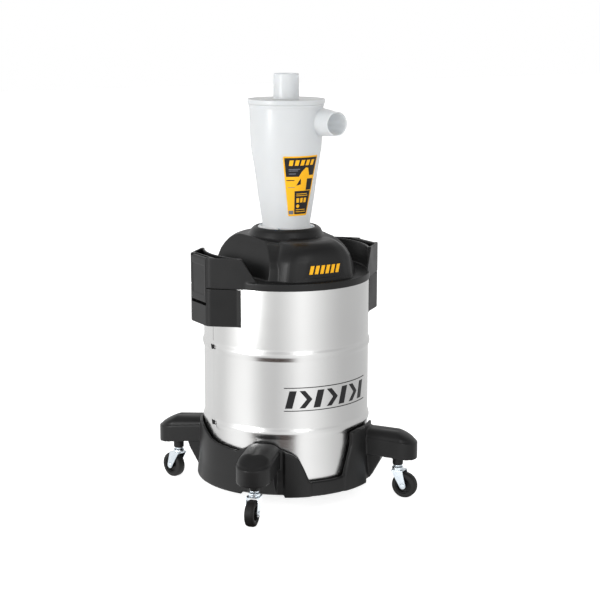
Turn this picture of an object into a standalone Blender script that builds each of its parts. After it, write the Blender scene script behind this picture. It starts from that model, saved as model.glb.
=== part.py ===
"""A two-stage dust collector: a milky cyclone on the black lid of a steel drum, in a dolly on four casters.

Units are metres, +Z is up, the floor is z = 0 and the drum's axis is the Z axis. The front faces -Y.
"""

from math import cos, pi, radians, sin, sqrt, tan

import bmesh
import bpy
from mathutils import Matrix, Vector

# Gaps and walls
GAP = 0.0003
PLASTIC = 0.004
STEPS = 32
MERGE = 0.000004

# Drum
DRUM_R = 0.170
DRUM_WALL = 0.0012
DRUM_BOTTOM_Z = 0.0460
DRUM_TOP_Z = 0.4570
BEAD_HEIGHTS = (0.322, 0.164)
BEAD_R = 0.173
BEAD_TALL = 0.025

# Lid
FLANGE_R = 0.172
FLANGE_BOTTOM_Z = 0.4514
FLANGE_TOP_Z = 0.4663
LIP_R = DRUM_R + 0.0004
LID_UNDERSIDE_Z = 0.4603
DOME_TOP_Z = 0.5425
COLLAR_TOP_Z = 0.5585
# The dome's flat side over y = 0 as (x, z), and how far it moves out for each metre towards the back
DOME_SIDE = (
    (0.0780, 0.5600), (0.0840, 0.5425), (0.0955, 0.5310), (0.1015, 0.5220), (0.1070, 0.5100),
    (0.1110, 0.4950), (0.1160, 0.4668),
)
DOME_SIDE_SLANT = 0.09
COLLAR_BORE_R = 0.0605
SEAT_Z = 0.5445
SEAT_HOLE_R = 0.0465

# Cyclone
FLANGE_SCREW_R = 0.0540
CYCLONE_BOTTOM_Z = 0.5480
CYCLONE_FLANGE_TOP_Z = 0.5570
CYCLONE_FLANGE_R = 0.0585
CYCLONE_WALL = 0.0025
CYCLONE_TOP_Z = 0.8057
COVER_R = 0.0785
COVER_TOP_Z = 0.8154
OUTLET_TOP_Z = 0.8655
OUTLET_R = 0.0255
OUTLET_BASE_R = 0.0265
OUTLET_BORE_R = 0.0225
INLET_X = 0.050
INLET_Z = 0.770
INLET_MOUTH_Y = -0.114
INLET_R = 0.0243
INLET_BORE_R = 0.0215
INLET_END_Y = -0.0060
FINDER_BOTTOM_Z = 0.7275
FINDER_R = 0.0265
FINDER_FOOT_R = 0.0395

# Side blocks and latches, given for the +X side
BLOCK_X = 0.202
BLOCK_HALF = 0.037
BLOCK_TOP_Z = 0.5125
BLOCK_SEAM_Z = 0.4505
BRACKET_BOTTOM_Z = 0.3750
RECESS_X = 0.1905
RECESS_HALF = 0.0318
LATCH_HALF = 0.0312
LATCH_INNER_X = 0.1962
LATCH_BOTTOM_Z = 0.4220
FINGER_GAP = 0.0060
PIVOT_X = 0.1965
PIVOT_Z = 0.5060
KNUCKLE_R = 0.0055
PIN_R = 0.0020
HOLE_CLEARANCE = 0.0004
CATCH_LIP = (0.4345, 0.4380)
LATCH_HOOK = (0.4290, 0.4330)

# Dolly
SKIRT_R = 0.187
SKIRT_BOTTOM_Z = 0.0370
NOTCH_Z = 0.0438
RING_R = 0.180
RING_INNER_R = 0.1745
PAN_Z = 0.0410
PAN_TOP_Z = 0.0455
ARM_TIP_R = 0.279
ARM_HALF = 0.035
# Heights of an arm at its root and at its tip
ARM_BOTTOM = (0.0960, 0.0836)
ARM_CREASE = (0.1310, 0.1190)
ARM_CROWN = (0.1445, 0.1255)
BOSS_Z = 0.0686
BOSS_R = 0.0110

# Casters
CASTER_XY = 0.169
WHEEL_R = 0.0265
WHEEL_HALF = 0.0095
TYRE_INNER_R = 0.0170
TRAIL = 0.016
AXLE_R = 0.0030
STEM_R = 0.0040
FORK_TOP_Z = 0.0650
SADDLE_Z = 0.0560
SADDLE_TOP_Z = 0.0580
FORK_INNER = 0.0115
FORK_OUTER = 0.0131
# Name, side in X, side in Y, and the trail's direction from -Y towards +X in degrees
CASTERS = (
    ("front_left", -1, -1, -47),
    ("front_right", 1, -1, 33),
    ("back_left", -1, 1, -163),
    ("back_right", 1, 1, 158),
)
SIDES = (("left", -1), ("right", 1))


def clear_scene():
    for obj in list(bpy.data.objects):
        bpy.data.objects.remove(obj)


def material(name, colour, roughness, metallic=0.0, transmission=0.0):
    made = bpy.data.materials.new(name)
    made.use_nodes = True
    shader = made.node_tree.nodes["Principled BSDF"]
    shader.inputs["Base Color"].default_value = (*colour, 1.0)
    shader.inputs["Roughness"].default_value = roughness
    shader.inputs["Metallic"].default_value = metallic
    shader.inputs["Transmission Weight"].default_value = transmission
    return made


# --- meshes ---------------------------------------------------------------------------------


def finished(mesh_name, form):
    """Turns a bmesh into a mesh whose faces point out."""
    bmesh.ops.recalc_face_normals(form, faces=form.faces)
    mesh = bpy.data.meshes.new(mesh_name)
    form.to_mesh(mesh)
    form.free()
    return mesh


def loft(rings):
    """A closed solid through equal loops of points, capped at both ends."""
    form = bmesh.new()
    loops = [[form.verts.new(point) for point in ring] for ring in rings]
    count = len(rings[0])
    for low, high in zip(loops, loops[1:]):
        for i in range(count):
            j = (i + 1) % count
            form.faces.new((low[i], low[j], high[j], high[i]))
    form.faces.new(loops[0])
    form.faces.new(loops[-1])
    return finished("loft", form)


def prism(outline, low, high):
    """The outline, a list of (x, y), extruded from z = low to z = high."""
    return loft([[(x, y, z) for x, y in outline] for z in (low, high)])


def turned(profile, steps=STEPS):
    """A profile of (radius, z) turned about Z. One that starts and ends on the axis closes there."""
    form = bmesh.new()
    on_axis = [r < 1e-9 for r, _ in profile]
    poles = [form.verts.new((0, 0, z)) if pole else None for (_, z), pole in zip(profile, on_axis)]
    rings = []
    for k in range(steps):
        angle = 2 * pi * k / steps
        ring = [
            pole or form.verts.new((r * cos(angle), r * sin(angle), z))
            for (r, z), pole in zip(profile, poles)
        ]
        rings.append(ring)
    pairs = [(i, (i + 1) % len(profile)) for i in range(len(profile))]
    pairs = [(i, j) for i, j in pairs if not (on_axis[i] and on_axis[j])]
    for k in range(steps):
        here, there = rings[k], rings[(k + 1) % steps]
        for i, j in pairs:
            corners = [here[i], here[j], there[j], there[i]]
            form.faces.new(list(dict.fromkeys(corners)))
    return finished("turned", form)


def rod(radius, start, end, steps=20, end_radius=None):
    """A round bar, or a cone, from one point to another."""
    start, end = Vector(start), Vector(end)
    length = (end - start).length
    end_radius = radius if end_radius is None else end_radius
    mesh = turned([(0, 0), (radius, 0), (end_radius, length), (0, length)], steps)
    turn = (end - start).to_track_quat("Z", "Y").to_matrix().to_4x4()
    mesh.transform(Matrix.Translation(start) @ turn)
    return mesh


def box(low, high):
    outline = [(low[0], low[1]), (high[0], low[1]), (high[0], high[1]), (low[0], high[1])]
    return prism(outline, low[2], high[2])


def moved(mesh, matrix):
    copy = mesh.copy()
    copy.transform(matrix)
    if matrix.determinant() < 0:
        copy.flip_normals()
    return copy


def about_z(degrees):
    return Matrix.Rotation(radians(degrees), 4, "Z")


def rounded(corners, radius, steps=4):
    """A closed outline with an arc of this radius at each corner."""
    points = []
    for i, corner in enumerate(corners):
        here = Vector(corner)
        back = (Vector(corners[i - 1]) - here).normalized()
        ahead = (Vector(corners[(i + 1) % len(corners)]) - here).normalized()
        half = back.angle(ahead) / 2
        reach = radius / tan(half)
        centre = here + (back + ahead).normalized() * radius / sin(half)
        start = here + back * reach - centre
        sweep = start.angle_signed(here + ahead * reach - centre)
        for k in range(steps + 1):
            point = start.copy()
            point.rotate(Matrix.Rotation(-sweep * k / steps, 2))
            points.append(tuple(centre + point))
    return points


def cleaned(mesh):
    """The mesh with points closer than MERGE joined, which leaves no edge without length."""
    form = bmesh.new()
    form.from_mesh(mesh)
    bmesh.ops.remove_doubles(form, verts=form.verts, dist=MERGE)
    bmesh.ops.dissolve_degenerate(form, edges=form.edges, dist=MERGE)
    form.to_mesh(mesh)
    form.free()
    return mesh


def combined(start, *steps):
    """The start mesh after each step, ("UNION" or "DIFFERENCE", other mesh), in turn."""
    scene = bpy.context.scene.collection
    result = start
    for operation, mesh in steps:
        base = bpy.data.objects.new("base", result)
        helper = bpy.data.objects.new("helper", mesh)
        scene.objects.link(base)
        scene.objects.link(helper)
        helper.hide_render = True
        helper.display_type = "WIRE"
        modifier = base.modifiers.new(operation, "BOOLEAN")
        modifier.operation = operation
        modifier.object = helper
        graph = bpy.context.evaluated_depsgraph_get()
        result = cleaned(bpy.data.meshes.new_from_object(base.evaluated_get(graph)))
        bpy.data.objects.remove(base)
        bpy.data.objects.remove(helper)
    return result


def place(name, mesh, finish, origin=(0, 0, 0), parent=None):
    """Adds the mesh, given in world space, as an object with its origin at this point."""
    mesh = mesh.copy()
    mesh.name = name
    mesh.transform(Matrix.Translation(-Vector(origin)))
    mesh.materials.clear()
    mesh.materials.append(finish)
    mesh.shade_smooth()
    mesh.set_sharp_from_angle(angle=radians(35))
    obj = bpy.data.objects.new(name, mesh)
    bpy.context.scene.collection.objects.link(obj)
    obj.location = Vector(origin)
    if parent:
        obj.parent = parent
        obj.location = Vector(origin) - parent.matrix_world.translation
    return obj


def holder(name, origin, parent=None):
    """An empty on a joint's axis, which the moving pieces hang from."""
    empty = bpy.data.objects.new(name, None)
    bpy.context.scene.collection.objects.link(empty)
    empty.location = Vector(origin)
    if parent:
        empty.parent = parent
        empty.location = Vector(origin) - parent.matrix_world.translation
    bpy.context.view_layer.update()
    return empty


# --- drum -------------------------------------------------------------------------------------


def drum_outline(inset):
    """The drum wall's face, from top to bottom, with its two rolled beads."""
    points = [(DRUM_R - inset, DRUM_TOP_Z)]
    for height in BEAD_HEIGHTS:
        for rise, out in ((0.5, 0.0), (0.3, 0.6), (0.0, 1.0), (-0.3, 0.6), (-0.5, 0.0)):
            radius = DRUM_R + (BEAD_R - DRUM_R) * out - inset
            points.append((radius, height + rise * BEAD_TALL))
    points.append((DRUM_R - inset, DRUM_BOTTOM_Z))
    return points


RIVET_ANGLES = (-12, 12)
RIVET_Z = 0.4110
RIVET_R = 0.0020
RIVET_HEAD_R = 0.0042
BACK_PLATE = 0.0030


def rivet_places():
    """Name, and the turn about Z from the +X direction, of each bracket rivet."""
    for side, sign in SIDES:
        for number, angle in enumerate(RIVET_ANGLES, 1):
            yield f"bracket_rivet_{side}_{number}", angle + (180 if sign < 0 else 0)


def rivet_hole(angle):
    hole = rod(RIVET_R + HOLE_CLEARANCE, (0.150, 0, RIVET_Z), (0.190, 0, RIVET_Z), 10)
    return moved(hole, about_z(angle))


def build_drum(steel):
    shell = turned(drum_outline(0) + drum_outline(DRUM_WALL)[::-1])
    holes = [("DIFFERENCE", rivet_hole(angle)) for _, angle in rivet_places()]
    place("drum_shell", combined(shell, *holes), steel)
    rim = DRUM_R - DRUM_WALL - GAP
    thick = 0.0015
    bottom = turned([
        (0, DRUM_BOTTOM_Z + thick),
        (rim - thick, DRUM_BOTTOM_Z + thick),
        (rim - thick, DRUM_BOTTOM_Z + 0.012),
        (rim, DRUM_BOTTOM_Z + 0.012),
        (rim, DRUM_BOTTOM_Z),
        (0, DRUM_BOTTOM_Z),
    ])
    place("drum_bottom", bottom, steel)


def build_rivets(zinc):
    """Blind rivets that hold the brackets: a head outside, a shank, and a set end inside the drum."""
    outside = DRUM_R + GAP + BACK_PLATE + 0.0005
    inside = (DRUM_R - DRUM_WALL) * cos(pi / STEPS) - 0.0005
    profile = [
        (0, outside + 0.0016),
        (RIVET_HEAD_R - 0.001, outside + 0.0016),
        (RIVET_HEAD_R, outside),
        (RIVET_R, outside),
        (RIVET_R, inside),
        (0.0032, inside),
        (0.0032, inside - 0.002),
        (0, inside - 0.002),
    ]
    lie_down = Matrix.Rotation(pi / 2, 4, "Y")
    shape = moved(turned(profile, 10), Matrix.Translation((0, 0, RIVET_Z)) @ lie_down)
    for name, angle in rivet_places():
        turn = about_z(angle)
        place(name, moved(shape, turn), zinc, turn @ Vector((outside, 0, RIVET_Z)))


# --- side blocks and latches ------------------------------------------------------------------

UPPER_END = (0.1215, 0.1147)
POCKET_WALL_R = 0.1712
UPPER_TOP_END = (0.1517, 0.0856)
LOWER_END = (0.1550, 0.0745)
FOOT = ((0.1515, 0.0815), (0.1400, 0.0755))


def both_halves(corners):
    """An outline symmetric about the X axis, from its +Y half."""
    return corners + [(x, -y) for x, y in corners[::-1]]


def slanted_plan(end, tail, radius=0.008):
    """The outline of a block from its rounded outer corners to its end and tail, both sides."""
    corners = both_halves([tail, end, (BLOCK_X, BLOCK_HALF)])
    smooth = rounded(corners, radius, 3)
    per_corner = len(smooth) // len(corners)
    kept = []
    for i, corner in enumerate(corners):
        arc = smooth[i * per_corner:(i + 1) * per_corner]
        kept += arc if abs(corner[0] - BLOCK_X) < 1e-9 else [corner]
    return kept


def pocket_plan(end, outer_x, reach):
    """The inside of a block's walls: parallel to the slanted walls, open towards the drum."""
    direction = (Vector(end) - Vector((BLOCK_X, BLOCK_HALF))).normalized()
    inwards = Vector((-direction.y, direction.x))
    if inwards.y > 0:
        inwards = -inwards
    start = Vector((BLOCK_X, BLOCK_HALF)) + inwards * PLASTIC
    corner = start + direction * ((outer_x - start.x) / direction.x)
    far = start + direction * ((reach - start.x) / direction.x)
    return both_halves([tuple(far), tuple(corner)])


def latch_recess(low, high):
    return box((RECESS_X, -RECESS_HALF, low), (BLOCK_X + 0.01, RECESS_HALF, high))


def pin_hole(radius, half, steps=16):
    return rod(radius, (PIVOT_X, -half, PIVOT_Z), (PIVOT_X, half, PIVOT_Z), steps)


PIN_HALF = 0.0348


def upper_block():
    """The lid's side block for +X: a pocket open at its top, closed towards the dome by a curved wall."""
    wall_x = RECESS_X - PLASTIC
    low = slanted_plan(UPPER_END, (0.115, 0.083))
    high = slanted_plan(UPPER_TOP_END, (0.125, 0.062))
    rings = [[(x, y, z) for x, y in plan] for plan, z in ((low, FLANGE_BOTTOM_Z + GAP), (high, BLOCK_TOP_Z))]
    pocket = prism(pocket_plan(UPPER_END, wall_x, 0.09), FLANGE_BOTTOM_Z + 0.006, 0.54)
    inner_r = POCKET_WALL_R - PLASTIC
    wall_section = [(inner_r, 0.44), (POCKET_WALL_R, 0.44), (POCKET_WALL_R, 0.55), (inner_r, 0.55)]
    curved_wall = turned(wall_section, 96)
    return combined(
        loft(rings),
        ("DIFFERENCE", combined(pocket, ("DIFFERENCE", curved_wall))),
        ("DIFFERENCE", latch_recess(0.43, 0.54)),
        ("DIFFERENCE", pin_hole(PIN_R + HOLE_CLEARANCE, PIN_HALF + GAP)),
    )


def lower_block():
    """The drum's bracket for +X: a hand-hold open below, a plate on the drum and a catch lip."""
    foot_out, foot_in = FOOT
    outer = slanted_plan(LOWER_END, foot_out)
    plan = [foot_in, *outer, (foot_in[0], -foot_in[1])]
    wall_x = RECESS_X - PLASTIC
    plate_r = DRUM_R + GAP + BACK_PLATE
    pocket = combined(
        prism(pocket_plan(LOWER_END, wall_x, 0.12), BRACKET_BOTTOM_Z - 0.01, BLOCK_SEAM_Z - PLASTIC),
        ("DIFFERENCE", rod(plate_r, (0, 0, 0.3), (0, 0, 0.5), 80)),
    )
    recess_floor = LATCH_BOTTOM_Z - FINGER_GAP
    lip = box((RECESS_X - 0.001, -0.020, CATCH_LIP[0]), (LATCH_INNER_X - 0.0020, 0.020, CATCH_LIP[1]))
    return combined(
        prism(plan, BRACKET_BOTTOM_Z, BLOCK_SEAM_Z),
        ("DIFFERENCE", pocket),
        ("DIFFERENCE", latch_recess(recess_floor, 0.50)),
        ("UNION", lip),
        ("DIFFERENCE", rod(DRUM_R + GAP, (0, 0, 0.3), (0, 0, 0.5), 80)),
        *[("DIFFERENCE", rivet_hole(angle)) for angle in RIVET_ANGLES],
    )


def latch_shape():
    """A latch for +X: a flat lever with a knuckle at its top, a hook behind and a finger lip."""
    face = BLOCK_X
    plate = box((LATCH_INNER_X, -LATCH_HALF, LATCH_BOTTOM_Z), (face, LATCH_HALF, PIVOT_Z))
    hook = box((LATCH_INNER_X - 0.0014, -0.018, LATCH_HOOK[0]), (face - 0.001, 0.018, LATCH_HOOK[1]))
    knuckle = rod(KNUCKLE_R, (PIVOT_X, -LATCH_HALF, PIVOT_Z), (PIVOT_X, LATCH_HALF, PIVOT_Z), 24)
    return combined(
        plate,
        ("UNION", knuckle),
        ("UNION", hook),
        ("DIFFERENCE", pin_hole(PIN_R + HOLE_CLEARANCE, 0.05)),
    )


def build_side_blocks(black, zinc):
    bracket, latch = lower_block(), latch_shape()
    pin = pin_hole(PIN_R, PIN_HALF)
    for side, sign in SIDES:
        turn = about_z(0 if sign > 0 else 180)
        pivot = turn @ Vector((PIVOT_X, 0, PIVOT_Z))
        place(f"tank_bracket_{side}", moved(bracket, turn), black)
        place(f"latch_{side}", moved(latch, turn), black, pivot)
        place(f"latch_pin_{side}", moved(pin, turn), zinc, pivot)


# --- lid ----------------------------------------------------------------------------------------


def dome_outer():
    return [
        (0, COLLAR_TOP_Z),
        (0.0620, COLLAR_TOP_Z),
        (0.0665, 0.5565),
        (0.0712, 0.5525),
        (0.0745, 0.5475),
        (0.0760, 0.5420),
        (0.0960, DOME_TOP_Z),
        (0.1070, 0.5385),
        (0.1180, 0.5310),
        (0.1270, 0.5215),
        (0.1350, 0.5100),
        (0.1410, 0.4950),
        (0.1440, 0.4800),
        (0.1455, FLANGE_TOP_Z),
        (FLANGE_R - 0.0015, FLANGE_TOP_Z),
        (FLANGE_R, FLANGE_TOP_Z - 0.0015),
        (FLANGE_R, FLANGE_BOTTOM_Z),
        (0, FLANGE_BOTTOM_Z),
    ]


def dome_inside():
    """The space under the lid: the drum rim's groove and the hollow of the dome."""
    return [
        (0, 0.5360),
        (0.0960, 0.5360),
        (0.1140, 0.5275),
        (0.1240, 0.5180),
        (0.1320, 0.5060),
        (0.1370, 0.4930),
        (0.1400, LID_UNDERSIDE_Z),
        (LIP_R, LID_UNDERSIDE_Z),
        (LIP_R, 0.44),
        (0, 0.44),
    ]


def flat_sides(inwards, low):
    """What the dome's flat sides take off it above this height."""
    line = [(x - inwards, z) for x, z in DOME_SIDE[:-1]] + [(DOME_SIDE[-1][0] - inwards, low)]
    outline = [(0.19, low), (0.19, line[0][1]), *line]
    rings = []
    for y in (-0.13, 0.13):
        rings.append([(x if x > 0.18 else x + y * DOME_SIDE_SLANT, y, z) for x, z in outline])
    cut = loft(rings)
    return [("DIFFERENCE", cut), ("DIFFERENCE", moved(cut, Matrix.Diagonal((-1, 1, 1, 1))))]


def collar_hollow():
    """The collar's bore, the seat for the cyclone and the hole through it."""
    return [
        (0, 0.57),
        (COLLAR_BORE_R, 0.57),
        (COLLAR_BORE_R, SEAT_Z),
        (SEAT_HOLE_R, SEAT_Z),
        (SEAT_HOLE_R, 0.52),
        (0, 0.52),
    ]


BONNET_PLAN = ((0.072, -0.070), (0.092, -0.108), (0.076, -0.139), (0.040, -0.153))
BONNET_FRONT_Y = -0.156
# Height, and how far the front and the sides draw back there
BONNET_LEVELS = (
    (0.4640, 0.0, 0.0), (0.5060, 0.0020, 0.0068), (0.5200, 0.0060, 0.0147), (0.5300, 0.0125, 0.0225),
    (0.5375, 0.0235, 0.0300),
)


def bonnet(wall):
    """The bulge on the lid's front, or its inside for a wall thickness above 0."""
    half = list(BONNET_PLAN) + [(0.012, BONNET_FRONT_Y)]
    corners = half + [(-x, y) for x, y in half[::-1]]
    rings = []
    for z, front, side in BONNET_LEVELS:
        narrow = 1 - (side + wall) / 0.09
        rings.append([(x * narrow, min(y + front + wall, -0.07), z - wall) for x, y in corners])
    if wall:
        rings[0] = [(x, y, LID_UNDERSIDE_Z - 0.006) for x, y, _ in rings[0]]
    return loft(rings)


def flange_screw_places():
    for number in range(4):
        yield number + 1, about_z(45 + 90 * number) @ Vector((FLANGE_SCREW_R, 0, 0))


def screw_holes(radius, low, high):
    return [
        ("DIFFERENCE", rod(radius, (p.x, p.y, low), (p.x, p.y, high), 8))
        for _, p in flange_screw_places()
    ]


SCREW_R = 0.0015
SCREW_HEAD_R = 0.0030
SCREW_LOW_Z = 0.5375


def build_lid(black, rubber):
    block = upper_block()
    hollow = combined(turned(dome_inside()), *flat_sides(PLASTIC, LID_UNDERSIDE_Z + 0.0005))
    lid = combined(
        turned(dome_outer()),
        *flat_sides(0.0, DOME_SIDE[-1][1]),
        ("UNION", bonnet(0.0)),
        ("UNION", block),
        ("UNION", moved(block, about_z(180))),
        ("DIFFERENCE", hollow),
        ("DIFFERENCE", bonnet(0.0035)),
        ("DIFFERENCE", turned(collar_hollow())),
        *screw_holes(SCREW_R + HOLE_CLEARANCE, 0.525, 0.56),
    )
    place("lid_shell", lid, black)
    seal = turned([
        (0.1655, LID_UNDERSIDE_Z - GAP),
        (0.1698, LID_UNDERSIDE_Z - GAP),
        (0.1698, DRUM_TOP_Z + GAP),
        (0.1655, DRUM_TOP_Z + GAP),
    ])
    place("lid_gasket", seal, rubber)
    washer = turned([
        (SEAT_HOLE_R + 0.0005, CYCLONE_BOTTOM_Z - GAP),
        (CYCLONE_FLANGE_R - 0.0005, CYCLONE_BOTTOM_Z - GAP),
        (CYCLONE_FLANGE_R - 0.0005, SEAT_Z + GAP),
        (SEAT_HOLE_R + 0.0005, SEAT_Z + GAP),
    ])
    washer = combined(washer, *screw_holes(SCREW_R + HOLE_CLEARANCE, 0.53, 0.56))
    place("cyclone_gasket", washer, rubber)


# --- cyclone --------------------------------------------------------------------------------------

# Outer radius of the cyclone's wall at each height, top to bottom
CONE = (
    (0.0750, 0.8000),
    (0.0740, 0.7600),
    (0.0720, 0.7200),
    (0.0710, 0.7120),
    (0.0680, 0.6960),
    (0.0630, 0.6630),
    (0.0565, 0.6140),
    (0.0490, 0.5650),
)


def cyclone_shape():
    outer = [
        (0, CYCLONE_TOP_Z),
        (0.0768, CYCLONE_TOP_Z),
        (0.0768, 0.8025),
        *CONE,
        (0.0490, CYCLONE_FLANGE_TOP_Z),
        (CYCLONE_FLANGE_R, CYCLONE_FLANGE_TOP_Z),
        (CYCLONE_FLANGE_R, CYCLONE_BOTTOM_Z),
        (0, CYCLONE_BOTTOM_Z),
    ]
    inner = [
        (0, 0.83),
        (CONE[0][0] - CYCLONE_WALL, 0.83),
        *[(r - CYCLONE_WALL, z) for r, z in CONE],
        (CONE[-1][0] - CYCLONE_WALL, 0.53),
        (0, 0.53),
    ]
    mouth = (INLET_X, INLET_MOUTH_Y, INLET_Z)
    return combined(
        turned(outer),
        *screw_holes(SCREW_R + HOLE_CLEARANCE, 0.53, 0.5595),
        ("UNION", rod(INLET_R, mouth, (INLET_X, INLET_END_Y, INLET_Z), 28, 0.0252)),
        ("DIFFERENCE", turned(inner)),
        ("DIFFERENCE", rod(INLET_BORE_R, (INLET_X, -0.13, INLET_Z), (INLET_X, INLET_END_Y - 0.006, INLET_Z), 28)),
    )


def build_cyclone(milky, zinc):
    place("cyclone_body", cyclone_shape(), milky)
    low = CYCLONE_TOP_Z + GAP
    cover = turned([
        (OUTLET_BORE_R, OUTLET_TOP_Z),
        (OUTLET_R, OUTLET_TOP_Z),
        (OUTLET_BASE_R, COVER_TOP_Z + 0.002),
        (OUTLET_BASE_R + 0.002, COVER_TOP_Z),
        (COVER_R - 0.001, COVER_TOP_Z),
        (COVER_R, COVER_TOP_Z - 0.001),
        (COVER_R, low),
        (OUTLET_BORE_R, low),
    ])
    place("cyclone_cover", cover, milky)
    top = CYCLONE_TOP_Z
    finder = turned([
        (FINDER_R - CYCLONE_WALL, top),
        (0.0340, top),
        (0.0340, top - 0.0025),
        (FINDER_R, top - 0.0025),
        (FINDER_R, FINDER_BOTTOM_Z + 0.010),
        (FINDER_FOOT_R, FINDER_BOTTOM_Z + 0.002),
        (FINDER_FOOT_R, FINDER_BOTTOM_Z),
        (FINDER_R - CYCLONE_WALL, FINDER_BOTTOM_Z),
    ])
    place("vortex_finder", finder, milky)
    head = CYCLONE_FLANGE_TOP_Z + GAP
    screw = turned([
        (0, head + 0.0018),
        (SCREW_HEAD_R, head + 0.0018),
        (SCREW_HEAD_R, head),
        (SCREW_R, head),
        (SCREW_R, SCREW_LOW_Z),
        (0, SCREW_LOW_Z),
    ], 10)
    for number, point in flange_screw_places():
        place(f"flange_screw_{number}", moved(screw, Matrix.Translation(point)), zinc, point)


# --- dolly --------------------------------------------------------------------------------------

# Angle from the front, the wall's top there, and how far the wall stands proud, up to a front arm
WALL_FRONT_RIGHT = (
    (0, 0.0660, 0.0), (5, 0.0665, 0.0), (9, 0.0675, 0.0), (10, 0.0700, 0.004), (13.8, 0.1030, 0.004),
    (16.4, 0.1265, 0.004), (16.9, 0.1545, 0.004), (24, 0.1570, 0.004), (31, 0.1565, 0.004),
    (31.5, 0.1565, 0.0), (38, 0.1560, 0.0),
)
WALL_FRONT_LEFT = (
    (7, 0.0660, 0.0), (14, 0.0655, 0.0), (15, 0.0675, 0.004), (18.5, 0.0940, 0.004), (21.6, 0.1140, 0.004),
    (25.5, 0.1235, 0.004), (31, 0.1305, 0.004), (31.5, 0.1320, 0.0), (34, 0.1345, 0.0), (38, 0.1375, 0.0),
    (45, 0.1410, 0.0),
)
# Angle and top from a front arm round to the back, the same on both sides once past the arm
WALL_SIDE = (
    (45, 0.1560), (48.8, 0.1555), (49.3, 0.1455), (52, 0.1440), (58.5, 0.1310), (59, 0.1295), (63, 0.1245),
    (71, 0.1262), (81, 0.1286), (88, 0.1320), (95.5, 0.1410), (104, 0.1500), (112, 0.1530), (121, 0.1530),
    (121.5, 0.1530), (135, 0.1510), (148.5, 0.1480), (149, 0.1475), (158, 0.1390), (168, 0.1310),
    (180, 0.1286),
)
SKIRT_FOOT_R = 0.1830


def wall_stations():
    """(angle from the front, top, proud) right round the dolly, anticlockwise seen from above."""
    side = [(angle, top, 0.0) for angle, top in WALL_SIDE]
    right = list(WALL_FRONT_RIGHT) + side
    left = list(WALL_FRONT_LEFT) + side[3:-1]
    return right + [(360 - angle, top, proud) for angle, top, proud in left[::-1]]


def pan_section(angle, top, proud):
    """The wall's section at this angle. Its foot is notched under each arm."""
    turn = radians(angle)
    at_arm = abs(angle % 90 - 45) < 13.7
    low = NOTCH_Z if at_arm else SKIRT_BOTTOM_Z
    levels = [
        (SKIRT_FOOT_R, PAN_Z),
        (SKIRT_FOOT_R, low),
        (SKIRT_R + proud * 0.5, low),
        (RING_R + 0.0035 + proud, min(0.070, top - 0.001)),
        (RING_R + proud, top),
        (RING_INNER_R, top),
        (RING_INNER_R, PAN_TOP_Z),
    ]
    return [(r * sin(turn), -r * cos(turn), z) for r, z in levels]


def pan():
    """The dolly's round pan: a floor and a skirted wall whose top edge rises to the arms."""
    form = bmesh.new()
    rings = [[form.verts.new(p) for p in pan_section(*station)] for station in wall_stations()]
    count = len(rings)
    for k in range(count):
        here, there = rings[k], rings[(k + 1) % count]
        for i in range(len(here) - 1):
            form.faces.new((here[i], here[i + 1], there[i + 1], there[i]))
    form.faces.new([ring[0] for ring in rings])
    form.faces.new([ring[-1] for ring in rings])
    return finished("pan", form)


def arm_outline(half, tip, root):
    """An arm's plan along +X: straight sides and a half-round end."""
    centre = tip - half
    arc = [(centre + half * cos(radians(a)), half * sin(radians(a))) for a in (90, 67.5, 45, 22.5, 0, -22.5, -45, -67.5, -90)]
    return [(root, half), *arc, (root, -half)]


def arm_level(x, heights):
    """The height at this distance out, of a line from the arm's root to its tip."""
    along = min(max((x - 0.190) / (ARM_TIP_R - 0.190), 0), 1)
    return heights[0] + (heights[1] - heights[0]) * along


def arm_shape():
    """One arm along +X, hollow below, with its caster boss and the web that braces it."""
    outer = arm_outline(ARM_HALF, ARM_TIP_R, 0.165)
    crown = [(0.165 + (x - 0.165) * 0.93, y * 0.62) for x, y in outer]
    rings = [
        [(x, y, arm_level(x, ARM_BOTTOM)) for x, y in outer],
        [(x, y, arm_level(x, ARM_CREASE)) for x, y in outer],
        [(x, y, arm_level(x, ARM_CROWN)) for x, y in crown],
    ]
    inner = arm_outline(ARM_HALF - PLASTIC, ARM_TIP_R - PLASTIC, 0.196)
    ceiling = [(0.196 + (x - 0.196) * 0.92, y * 0.62) for x, y in inner]
    hollow = [
        [(x, y, 0.070) for x, y in inner],
        [(x, y, arm_level(x, ARM_CREASE) - 0.003) for x, y in inner],
        [(x, y, arm_level(x, ARM_CROWN) - 0.0055) for x, y in ceiling],
    ]
    side = [(0.165, NOTCH_Z + 0.001), (0.186, NOTCH_Z + 0.001), (0.2055, 0.080), (0.2095, 0.0945), (0.2095, 0.110), (0.165, 0.110)]
    web = loft([[(x, y, z) for x, z in side] for y in (-0.029, 0.029)])
    stem_r = CASTER_XY * sqrt(2)
    boss = rod(BOSS_R, (stem_r, 0, BOSS_Z), (stem_r, 0, 0.1295), 16)
    return combined(loft(rings), ("DIFFERENCE", loft(hollow)), ("UNION", web), ("UNION", boss))


STEM_TOP_Z = 0.0950


def build_dolly(black):
    arm = arm_shape()
    arms = [("UNION", moved(arm, about_z(45 + 90 * k))) for k in range(4)]
    sockets = []
    for _, x_side, y_side, _ in CASTERS:
        x, y = CASTER_XY * x_side, CASTER_XY * y_side
        sockets.append(("DIFFERENCE", rod(STEM_R + HOLE_CLEARANCE, (x, y, 0.05), (x, y, STEM_TOP_Z + 0.001), 12)))
    room = rod(RING_INNER_R, (0, 0, PAN_TOP_Z), (0, 0, 0.3), 60)
    place("dolly_base", combined(pan(), *arms, ("DIFFERENCE", room), *sockets), black)


# --- casters --------------------------------------------------------------------------------------


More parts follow.
